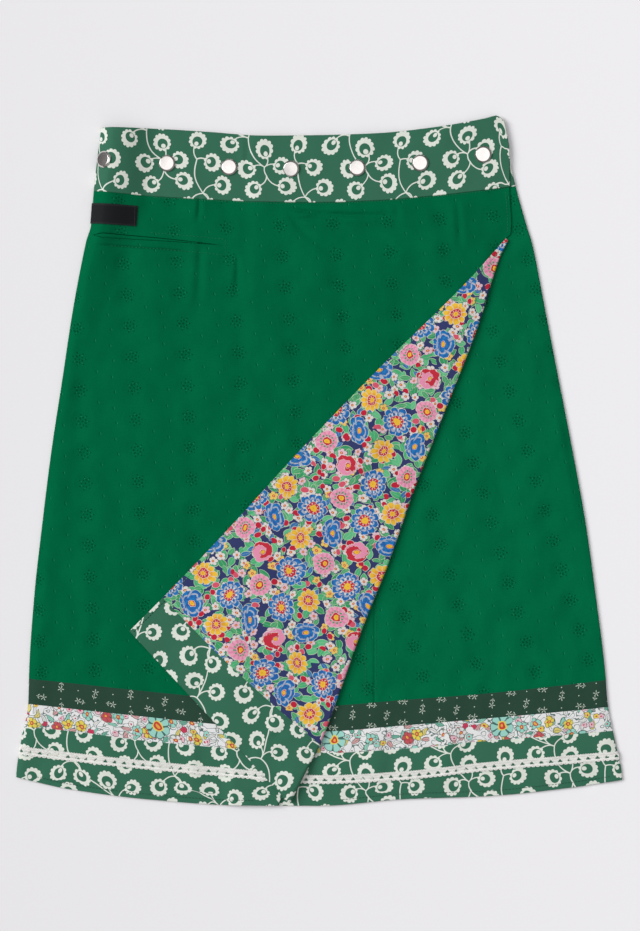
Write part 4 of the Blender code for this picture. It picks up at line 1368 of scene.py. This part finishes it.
def buildUnderlap():
    ends = betweenSeams(waistSeam, bodySeam)
    down = sharesFor(panelHeight, 3.4)
    grid, places = foldedGrid(-1, *ends, down, [(besideSeam(5.0), 80, 0.0), (besideSeam(0.0), 5, -seamGap)],
                              cloth, underlapDrape)
    seamDitch(grid, waistSeam, bodySeam)
    grid[:, topFrom:, 2] -= inUnderlapSeam(grid[:, topFrom:, 0])
    addCloth("underlap_panel", grid, places, shell, "underlapGreen", "green_cloth")

    grid, places = flatGrid(*ends, down, hiddenEdge,
                            [(besideSeam(-5.0), 32, 0.0), (besideSeam(0.0), 5, seamGap)], 0.0,
                            lambda x, y: underlapFront(x, y) - inUnderlapSeam(x))
    seamDitch(grid, None, bodySeam, 0)
    addCloth("underlap_front_panel", grid, places, shell, "underlapGreen", "green_cloth")
    hemStrips("underlap", -1, underlapSpans, underlapDrape, "Right")
    grid, places = foldedGrid(-1, *betweenSeams(shifted(waistTop, -backInset), waistSeam),
                              sharesFor(bandTall, 3.6),
                              underlapSpans, doubled, lambda x, y: np.zeros_like(x), follow=waistTop)
    addCloth("underlap_waistband", grid, places, bandShell, "waistRings", "scallop_print")


# the pocket: a slit with a narrow welt, topstitched above and below
pocket = {
    "start": (-204.2, 203.3), "end": (-86.0, 194.0), "half": 2.9, "share": 0.0925, "above": 5.6, "below": 8.6,
    "bow": 0.8, "pressed": 1.3, "lip": 0.6, "weltWall": 0.7,
}
pocketStart, pocketEnd = pocket["start"][0], pocket["end"][0]


def pocketMiddle(x):
    y0, y1 = pocket["start"][1], pocket["end"][1]
    share = (x - pocketStart) / (pocketEnd - pocketStart)
    return y0 + (y1 - y0) * share + pocket["bow"] * np.sin(math.pi * np.clip(share, 0, 1))


def pocketHalf(x):
    # half the mouth's width: opens over 10 mm, then narrows slowly to the far end
    share = np.clip((x - pocketStart) / (pocketEnd - pocketStart), 0.0, 1.0)
    mouth = pocket["half"] * (0.76 * (1 - share) ** 1.1 + 0.24 * (1 - share ** 12))
    return mouth * smooth(pocketStart - 2, pocketStart + 11, x)


def pocketWarp(top, bottom):
    # rows near the slit bend onto it; the two rows that share its place part by its half width
    def warp(x, y, share):
        away = (share - pocket["share"]) * slitPanel
        window = smooth(pocketStart - 30, pocketStart, x) * (1 - smooth(pocketEnd, pocketEnd + 30, x))
        window = window * bell(away, 20.0)
        slit = rowCurve(top, bottom, pocket["share"])(x)
        part = -np.sign(away) * pocketHalf(x) * np.exp(-np.abs(away) / 4.5)
        return (pocketMiddle(x) - slit) * window + part
    return warp


def pocketLift(x, y):
    # the overlap's own height, its folded lips a little proud, and the line pressed below the slit
    off = y - pocketMiddle(x)
    along = smooth(pocketStart, pocketStart + 8, x) * (1 - smooth(pocketEnd - 8, pocketEnd, x))
    lips = bell(np.abs(off) - pocketHalf(x), 2.2) * along
    seam = bell(off, 1.0) * (1 - smooth(-4.0, 4.0, x - pocketStart))
    pressed = bell(off + pocket["below"], 1.2) * smooth(-202.0, -194.0, x) * (1 - smooth(-130.0, -112.0, x))
    return overlapLift(x, y) + (pocket["lip"] * lips - 0.5 * seam - pocket["pressed"] * pressed)


def buildOverlap():
    top, bottom = betweenSeams(waistSeam, bodySeam)
    at = pocket["share"]
    close = np.array(besideRows) / slitPanel
    under = at + 0.032
    above, below = at - 1e-7, at + 1e-7
    down = np.concatenate([[0.0], close[:1], np.linspace(0, at, 32)[1:-1], [above, below],
                           np.linspace(at, under, 14)[1:-1], np.linspace(under, 1, 98)[:-1],
                           1 - close[::-1], [1.0]])
    spans = [(rampStart, 104, 0.0), (rampEnd, 9, 0.0), (overlapEnd, 104, 0.0)]
    grid, places = foldedGrid(1, top, bottom, down, spans, cloth, pocketLift, warp=pocketWarp(top, bottom))
    seamDitch(grid, waistSeam, bodySeam)

    # the two rows at the slit are one where the mouth is shut
    index = indexOf(grid)
    k = int(np.argmin(np.abs(down - above)))
    x = grid[k, :, 0]
    shut = (x <= pocketStart + 0.5) | (x >= pocketEnd) | (np.arange(len(x)) < topFrom)
    index[k + 1, shut] = index[k, shut]
    faces = np.concatenate([gridFaces(index[:k + 1]), gridFaces(index[k + 1:])])
    addCloth("overlap_panel", grid, places, shell, "overlapGreen", "green_cloth", faces)
    hemStrips("overlap", 1, spans, overlapLift, "Left")
    spans = [(rampStart, 46, 0.0), (rampEnd, 8, 0.0), (frontEdge, 62, 0.0)]
    grid, places = foldedGrid(1, *betweenSeams(waistTop, waistSeam), sharesFor(bandTall, 2.6), spans,
                              doubled, bandLift, follow=waistTop)
    addCloth("overlap_waistband", grid, places, bandShell, "waistRings", "scallop_print")

    # welt: a narrow folded strip in the slit, its section 0.5 (1 - v^2)
    x = np.linspace(pocketStart + 3.0, pocketEnd - 24.0, 70)[None, :]
    v = np.linspace(1, -1, 9)[:, None]
    half = pocketHalf(x)
    y = pocketMiddle(x) - 0.05 * half + v * np.maximum(half - 0.95, 0.25)
    x = np.repeat(x, 9, axis=0)
    z = overlapHeight(x, y) + 0.5 * (1 - v ** 2) - 0.05
    addCloth("pocket_welt", stacked(x, y, z), stacked(x, y), pocket["weltWall"], "plainGreen", "green_cloth")


# the corner turned back: rows from the free edge over to the roll, round it and back under as a lip
flap = {"rollPoints": 11, "edgeFade": 14.0, "grain": (-0.694, -0.72), "liningRows": 150, "liningRun": 330.0,
        "facingRun": 42.0, "seamDepth": 0.3}


def flapGrid(edgeY, foldY, bow, countAcross):
    edge = stacked(cornerEdge(edgeY), edgeY)[:, None, :]
    fold = stacked(frontEdge(foldY), foldY)[:, None, :]
    normal = foldNormal(foldY)[:, None, :]
    puff = (flapPuff * flapShare(foldY))[:, None]
    foldX, foldYs = fold[:, :, 0], fold[:, :, 1]
    low = cloth + gap + cloth / 2 + underFlap(foldX, foldYs)
    turn = (flapRise(foldX, foldYs) + puff) / 2
    outer = turn + cloth / 2
    crest = fold - normal * outer[:, :, None]
    across = np.linspace(0, 1, countAcross, endpoint=False)[None, :]
    flat = edge + (crest - edge) * across[:, :, None]
    along = crest - edge
    size = np.linalg.norm(along, axis=2)
    square = stacked(along[:, :, 1], -along[:, :, 0]) / size[:, :, None]
    flat = flat + square * (bow[:, None] * np.sin(math.pi * across))[:, :, None]
    x, y = flat[:, :, 0], flat[:, :, 1]
    back = (1 - across) * size
    base = cloth + gap + cloth / 2 + underFlap(x, y) + overlapDrape(x, y)
    fade = smooth(0.0, flap["edgeFade"], across * size) * smooth(4.0, 26.0, back)
    flatZ = base + flapRise(x, y) + puff * bell(back, puffReach) + relief(x, y, "flap") * fade
    angle = np.linspace(math.pi / 2, -math.pi / 2, flap["rollPoints"])[None, :]
    roll = crest + normal * (turn * np.cos(angle))[:, :, None]
    rollZ = low + turn * (1 + np.sin(angle))
    lipAt = np.array([0.5, 1.0])[None, :, None]
    lip = crest - normal * lipSpan(foldY)[:, None, None] * lipAt
    lipZ = low + np.zeros_like(lip[:, :, 0])
    plan = np.concatenate([flat, roll, lip], axis=1)
    height = np.concatenate([flatZ, rollZ, lipZ], axis=1)
    # pattern places: the roll and lip laid out flat past the crest, turned to the free edge's grain
    beyond = np.concatenate([turn * (math.pi / 2 - angle),
                             turn * math.pi + lipSpan(foldY)[:, None] * lipAt[:, :, 0]], axis=1)
    spread = np.concatenate([flat, crest + normal * beyond[:, :, None]], axis=1)
    gx, gy = flap["grain"]
    places = stacked(spread @ np.array([-gy, gx]) * -1.0, spread @ np.array([gx, gy]) * -1.0)
    return np.concatenate([plan, height[:, :, None]], axis=2), places


def flapPiece(node, share, ends, bow, countAcross, seam, look, slotName):
    # rows between two lines that run from the free edge to the fold, with a dip at a sewn seam
    edgeY, foldY = (start + (end - start) * share for start, end in ends)
    grid, places = flapGrid(edgeY, foldY, bow, countAcross)
    grid[:, :, 2] -= (flap["seamDepth"] * seam)[:, None]
    addCloth(node, grid, places, shell, look, slotName)
    return grid


def buildFlap():
    share = np.linspace(flapStart, 1, flap["liningRows"])
    lining = flapPiece("flap_lining", share, [(apexY, liningEdgeY + seamGap), (apexY, liningFoldY + seamGap)],
                       facingBow * share ** 4, 72, bell((1 - share) * flap["liningRun"], 1.6),
                       "lining", "lining_print")
    share = sharesFor(flap["facingRun"], 2.4)
    facing = flapPiece("flap_facing", share, [(liningEdgeY - seamGap, facingEdgeY),
                                              (liningFoldY - seamGap, facingFoldY)],
                       facingBow * (1 - share), 86, bell(share * flap["facingRun"], 1.3),
                       "facingRings", "scallop_print")
    return lining, facing


def pathAcross(grid, distance):
    # the point at a distance run along each row, and the normal there
    run = arcAlong(grid)
    rows = np.arange(len(grid))
    k = np.clip((run < distance).sum(axis=1) - 1, 0, grid.shape[1] - 2)
    f = ((distance - run[rows, k]) / (run[rows, k + 1] - run[rows, k]))[:, None]
    place, normal = (field[rows, k] * (1 - f) + field[rows, k + 1] * f for field in (grid, gridNormals(grid)))
    return place, unit(normal)


# crochet lace: posts laid side by side across the strip, split by a row of small triangular holes,
# with a plaited edge above and picots below
lace = {
    "post": 0.92, "radius": 0.27, "hole": 8.5, "holeHalf": 2.05, "holeLow": -1.1, "holeHigh": 1.5,
    "top": 2.75, "bottom": -2.7,
    # plaits: middle, swing, period and lift of each pair of cords, and their radius
    "plaits": [(2.75, 0.32, 2.0, 0.62), (-2.1, 0.26, 1.8, 0.6)], "plaitRadius": 0.33,
    # rows of picots: middle, reach and period, and their radius
    "picots": [(2.9, 0.95, 2.3), (-2.6, -1.3, 4.2), (-2.2, -0.85, 4.2)], "picotRadius": 0.3,
}


def laceStrip(name, side, spans, lift):
    top, bottom = shifted(laceMiddle, laceWidth / 2), shifted(laceMiddle, -laceWidth / 2)
    grid, places = foldedGrid(side, top, bottom, np.linspace(0, 1, 5), spans, cloth, lift)
    upper = topFrom - 3
    normals = gridNormals(grid)[:, upper:] * side
    grid = grid[:, upper:] + normals * (shell / 2 + 0.3)
    run = arcAlong(grid)[2]
    length = run[-1]
    bundles = []

    def cord(u, v, w, radius):
        # a tube at places on the strip's grid (bilinear), w outwards
        column = np.clip(np.interp(u, run, np.arange(len(run))), 0, len(run) - 1.001)
        row = np.clip((laceWidth / 2 - v) / laceWidth * 4, -0.4, 4.4)
        i = np.clip(row.astype(int), 0, 3)
        j = column.astype(int)
        fi, fj = (row - i)[..., None], (column - j)[..., None]
        place, normal = (((field[i, j] * (1 - fj) + field[i, j + 1] * fj) * (1 - fi)
                          + (field[i + 1, j] * (1 - fj) + field[i + 1, j + 1] * fj) * fi)
                         for field in (grid, normals))
        bundles.append(tubes((place + normal * w[..., None])[None], normal[None], radius))

    t = np.arange(int(length / lace["post"]) * 12 + 1) / 12.0
    u = t * lace["post"]
    swing = 0.5 + 0.5 * np.cos(2 * math.pi * t)
    near = np.abs((u + 2.0) % lace["hole"] - lace["hole"] / 2) / lace["holeHalf"]
    holed = near < 1
    split = np.where(holed, lace["holeHigh"] - (lace["holeHigh"] - lace["holeLow"]) * near, lace["holeLow"])
    foot = np.where(holed, lace["holeLow"] - 0.25, split + 0.2)
    for low, high, phase in ((split, lace["top"], 0.0), (lace["bottom"] + 0 * u, foot, 0.3)):
        w = 0.28 + 0.16 * np.sin(2 * math.pi * (t + phase)) + 0.08 * np.sin(u / 3.1)
        cord(np.clip(u, 0.3, length - 0.3), low + (high - low) * swing, w, lace["radius"])
    t = np.arange(0, length - 0.6, 0.34)
    for middle, reach, period, rise in lace["plaits"]:
        for phase in (0.0, math.pi):
            turn = 2 * math.pi * t / period + phase
            cord(t + 0.3, middle + reach * np.sin(turn), rise + 0.2 * np.cos(turn), lace["plaitRadius"])
    for middle, reach, period in lace["picots"]:
        cord(t + 0.3, middle + reach * np.abs(np.sin(math.pi * t / period)) ** 0.8, 0.4 + 0 * t,
             lace["picotRadius"])
    addThreads(f"{name}_crochet", bundles, "lace", "lace_cotton", name)


def buildLabel():
    # the label lies on the panel's points from its side fold onto the flat
    down = labelTape["height"] * np.linspace(0, 1, 9)[:, None]
    y = labelTape["top"] - down
    hump = leftHump(y)
    fold = foldShape(hump, cloth)
    s, z = (field[:, topFrom - 3:] for field in foldPath(hump, cloth, np.zeros((9, 0))))
    kept = s[0] < labelTape["length"] - 2.0
    last = np.full_like(y, labelTape["length"])
    s = np.concatenate([s[:, kept], last - 0.8, last], axis=1)
    z = np.concatenate([z[:, kept], topCloth(last - 0.8, fold), topCloth(last, fold)], axis=1)
    y = y - 0.06 * s
    x = leftFold(y) + s
    grid = stacked(x, y, z + overlapDrape(x, y))
    raised = grid + gridNormals(grid) * (shell / 2 + 0.35 + 0.3)
    run = arcAlong(raised)
    addCloth("label", raised, stacked(run, y * 0 - down), labelTape["wall"], "label", "label_tape",
             name="label_tape_blank")
    end, up = pathAcross(raised, run[:, -1].min() - 1.6)
    addThreads("label_stitches", [stitches(end + up * 0.3, up, 1.7, 1.35, 0.2)], "labelThread", "label_tape")


# snap caps: flat foot, rounded edge, sloping rim and a nearly flat crown, turned as a profile
snaps = {
    "x": [-193.0, -137.3, -81.5, -25.7, 33.8, 90.5, 147.2], "turns": 64, "reach": 3.0,
    "tilts": [(0.3, 0.0), (-0.08, 0.06), (-0.04, 0.06), (-0.15, -0.10), (-0.06, 0.08), (-0.08, 0.03),
              (-0.09, -0.02)],
    "profile": [(0, 0), (6.6, 0), (7.3, 0.08), (7.6, 0.3), (7.68, 0.54), (7.6, 0.76), (7.44, 0.94),
                (6.36, 1.78), (6.28, 1.84), (6.18, 1.89), (6.08, 1.92), (5.9, 1.93), (4.9, 1.96), (3.6, 2.0),
                (2.4, 2.03), (1.2, 2.05), (0, 2.06)],
}


def buildSnaps():
    profile, turns, reach = np.array(snaps["profile"]), snaps["turns"], snaps["reach"]
    angle = np.arange(turns) / turns * 2 * math.pi
    index = np.arange(len(profile) * turns).reshape(len(profile), turns)
    following = np.roll(index, -1, axis=1)
    body = stacked(index[1:-2], following[1:-2], following[2:-1], index[2:-1]).reshape(-1, 4)
    foot = withApex(following[1], index[1], index[0] * 0 + index[0, 0])
    crown = withApex(index[-2], following[-2], index[-1] * 0 + index[-1, 0])
    for number, (x, tilt) in enumerate(zip(snaps["x"], snaps["tilts"]), start=1):
        y = (waistTop(x) + waistSeam(x)) / 2
        z = bandHeight(np.array([x, x + reach, x - reach, x, x]), np.array([y, y, y, y + reach, y - reach]))
        slope = np.array([z[2] - z[1], z[4] - z[3]]) / (2 * reach) + tilt
        normal = unit(np.array([*slope, 1.0]))
        first = unit(np.cross([0.0, 1.0, 0.0], normal))
        second = np.cross(normal, first)
        centre = np.array([x, y, z[0]]) + normal * (bandShell / 2 + 0.1)
        ring = np.cos(angle)[:, None] * first + np.sin(angle)[:, None] * second
        points = centre + profile[:, None, :1] * ring[None] + profile[:, None, 1:] * normal
        points, faces = dropUnused(points.reshape(-1, 3), np.concatenate([body, foot, crown]))
        item = meshFrom(f"snap_{number}_cap", points, faces, points[:, :2], looks["nickel"], 60.0)
        finishPiece(item, f"snap_{number}", "nickel")


def sewn(x, y, height, pitch=2.9, length=2.3, radius=0.24):
    path, up = onSurface(x + 0 * y, y + 0 * x, height)
    return stitches(path, up, pitch, length, radius)


def sewnRound(grid, inset, skip, foot, columns):
    # a row along the free edge and one along the lower end, on the cloth's shown side
    edge, up = pathAcross(grid, inset)
    row, rowUp = pathAcross(np.swapaxes(grid[::-1, :columns], 0, 1), foot)
    return [stitches(edge[skip:] + up[skip:] * shell / 2, up[skip:]),
            stitches(row - rowUp * shell / 2, -rowUp)]


def buildStitches(lining, facing):
    # rows of topstitching, each on the surface it was sewn through
    above, below = pocketMiddle(pocketEnd) + pocket["above"], pocketMiddle(pocketEnd) - pocket["below"]
    x = np.linspace(-150, 168, 400)
    nearPocket = np.linspace(pocketStart + 52, pocketEnd + 1, 120)
    underPocket = np.linspace(pocketStart + 16, pocketEnd, 160)
    y = np.linspace(205, 242, 60)
    addThreads("overlap_stitches", [
        sewn(x, waistSeam(x) - 1.5, overlapHeight, 2.6, 2.0),
        sewn(nearPocket, pocketMiddle(nearPocket) + pocket["above"], overlapHeight, 3.2, 1.9),
        sewn(underPocket, pocketMiddle(underPocket) - pocket["below"], overlapHeight, 3.2, 1.9),
        sewn(pocketEnd + 1.5, np.linspace(above, below, 30), overlapHeight, 3.2, 1.9),
        sewn(frontEdge(y) - 3.0, y, overlapHeight),
    ], "greenThread", "green_cloth")
    x = np.linspace(-255, -60, 260)
    addThreads("overlap_hem_stitches", [sewn(x, hemEdge(x) + 4.5, overlapHeight, 3.0)], "darkThread",
               "scallop_print")
    y = np.linspace(-84, -213, 180)
    addThreads("underlap_stitches", [
        sewn(underlapSeamX - 8.1, y, underlapFront, 2.9, 2.3, 0.26),
        sewn(underlapSeamX + 1.6, y, underlapHeight, 2.9, 2.0, 0.26),
    ], "greenThread", "green_cloth")
    x = np.linspace(20, 262, 300)
    addThreads("underlap_hem_stitches", [sewn(x, hemEdge(x) + 4.5, underlapHeight, 3.0)], "darkThread",
               "scallop_print")
    addThreads("flap_stitches", sewnRound(lining, 3.0, 4, 2.2, 70), "palerThread", "lining_print")
    addThreads("facing_stitches", sewnRound(facing, 3.0, 0, 3.5, 84), "darkThread", "scallop_print")


print("back and underlap")
buildBack()
buildUnderlap()
laceStrip("underlap_lace", -1, underlapSpans, underlapDrape)
print("overlap and its turned-back corner")
buildOverlap()
laceStrip("overlap_lace", 1, [(rampStart, 46, 0.0), (rampEnd, 8, 0.0), (overlapEnd, 52, 0.0)], overlapLift)
liningGrid, facingGrid = buildFlap()
print("label, snaps and stitching")
buildLabel()
buildSnaps()
buildStitches(liningGrid, facingGrid)

# what each piece of cloth was cut to, in metres, as far as it shows: width, length, area, how it is held,
# what it rests on and what is sewn to it
cuts = {
    "back_waistband_cloth": (0.364, 0.064, 0.0207, "laid", [], []),
    "back_panel_cloth": (0.503, 0.468, 0.1996, "laid", [], []),
    "back_sprig_band_cloth": (0.506, 0.025, 0.0116, "laid", [], []),
    "back_floral_band_cloth": (0.514, 0.022, 0.0104, "laid", [], []),
    "back_hem_band_cloth": (0.530, 0.052, 0.0249, "laid", [], []),
    "underlap_waistband_cloth": (0.240, 0.064, 0.0136, "folded", ["back_waistband_cloth"], []),
    "underlap_panel_cloth": (0.218, 0.465, 0.0824, "folded", ["back_panel_cloth"], ["underlap_stitches"]),
    "underlap_front_panel_cloth": (0.121, 0.455, 0.0504, "laid", ["back_panel_cloth"], []),
    "underlap_sprig_band_cloth": (0.342, 0.025, 0.0078, "folded", ["back_sprig_band_cloth"], []),
    "underlap_floral_band_cloth": (0.347, 0.022, 0.0070, "folded", ["back_floral_band_cloth"], []),
    "underlap_hem_band_cloth": (0.358, 0.051, 0.0167, "folded", ["back_hem_band_cloth"],
                                ["underlap_lace_crochet", "underlap_hem_stitches"]),
    "overlap_waistband_cloth": (0.392, 0.065, 0.0231, "folded", ["underlap_waistband_cloth"], []),
    "overlap_panel_cloth": (0.450, 0.468, 0.1514, "folded",
                            ["underlap_panel_cloth", "underlap_front_panel_cloth"],
                            ["pocket_welt_cloth", "overlap_stitches"]),
    "overlap_sprig_band_cloth": (0.276, 0.024, 0.0062, "folded", ["underlap_sprig_band_cloth"], []),
    "overlap_floral_band_cloth": (0.271, 0.022, 0.0054, "folded", ["underlap_floral_band_cloth"], []),
    "overlap_hem_band_cloth": (0.270, 0.053, 0.0129, "folded", ["underlap_hem_band_cloth"],
                               ["overlap_lace_crochet", "overlap_hem_stitches"]),
    "flap_lining_cloth": (0.206, 0.450, 0.0488, "folded", ["overlap_panel_cloth"], ["flap_stitches"]),
    "flap_facing_cloth": (0.222, 0.061, 0.0102, "folded", ["overlap_hem_band_cloth"], ["facing_stitches"]),
    "label_tape_blank": (0.048, 0.019, 0.00088, "laid", ["overlap_panel_cloth"], ["label_stitches"]),
}
for name, (width, length, area, held, under, sewn) in cuts.items():
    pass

# floor, light and a long lens straight above
studio = {
    "floor": (230, 229, 231), "floorLitRight": (244, 243, 246), "floorHalf": 4.0, "floorZ": -0.0002,
    "low": 0.08, "rise": 0.445, "softbox": 1.0, "softFrom": 0.86, "softTo": 0.985, "tint": (1.0, 0.99, 0.995),
    "key": 1690.0, "lampSize": 8.4, "lampAt": (-10.8, 3.2, 10.2),
    "height": 4.0, "frame": 0.838, "middle": (0.00045, -0.00405),
}


def buildStudio():
    look = Look("paleFloor")
    places = look.objectPlaces()
    x, y, z = look.split(places)
    # painted light: the floor's colour brightens to the right and a little upward, as more light falls there
    across = look.math("MULTIPLY_ADD", x + y * 0.1, 1.1, 0.5, clamp=True)
    colour = look.blend(across, colourOf(*studio["floor"]), colourOf(*studio["floorLitRight"]))
    rough = look.noise(places, 0.4, 2.0).timesPlus(0.05, 0.85)
    look.finish(colour, rough, **{"Specular IOR Level": 0.1})
    half = studio["floorHalf"]
    corners = [(half * a, half * b, studio["floorZ"]) for a, b in ((-1, -1), (1, -1), (1, 1), (-1, 1))]
    mesh = bpy.data.meshes.new("floor")
    mesh.from_pydata(corners, [], [(0, 1, 2, 3)])
    mesh.materials.append(look.material)
    addObject("floor", mesh)

    # the room: dim at the horizon, brighter above, and a softbox overhead for the metal to mirror
    sky = Look("studio", bpy.data.worlds)
    x, y, z = sky.split(sky.node("ShaderNodeTexCoord"))
    softbox = sky.node("ShaderNodeMapRange", {"interpolation_type": "SMOOTHSTEP"},
                       {"Value": z, "From Min": studio["softFrom"], "From Max": studio["softTo"],
                        "To Min": 0.0, "To Max": studio["softbox"]})
    strength = z.timesPlus(studio["rise"], studio["low"]) + softbox
    sky.out(sky.node("ShaderNodeBackground", None, {"Color": studio["tint"], "Strength": strength}), "World")
    bpy.context.scene.world = sky.material

    lamp = bpy.data.lights.new("softKey", "AREA")
    lamp.shape = "RECTANGLE"
    lamp.size = lamp.size_y = studio["lampSize"]
    lamp.energy = studio["key"]
    item = addObject("softKey", lamp)
    item.location = studio["lampAt"]
    item.rotation_euler = Vector(item.location).to_track_quat("Z", "Y").to_euler()

    camera = bpy.data.cameras.new("camera")
    camera.lens = camera.sensor_width * studio["height"] / studio["frame"]
    eye = addObject("camera", camera)
    eye.location = (*studio["middle"], studio["height"] + 0.003)
    bpy.context.scene.camera = eye
    bpy.context.scene.view_settings.view_transform = "Standard"


buildStudio()
total = sum(len(item.data.polygons) for item in made.values())
print(f"{len(made)} pieces, {total} faces")
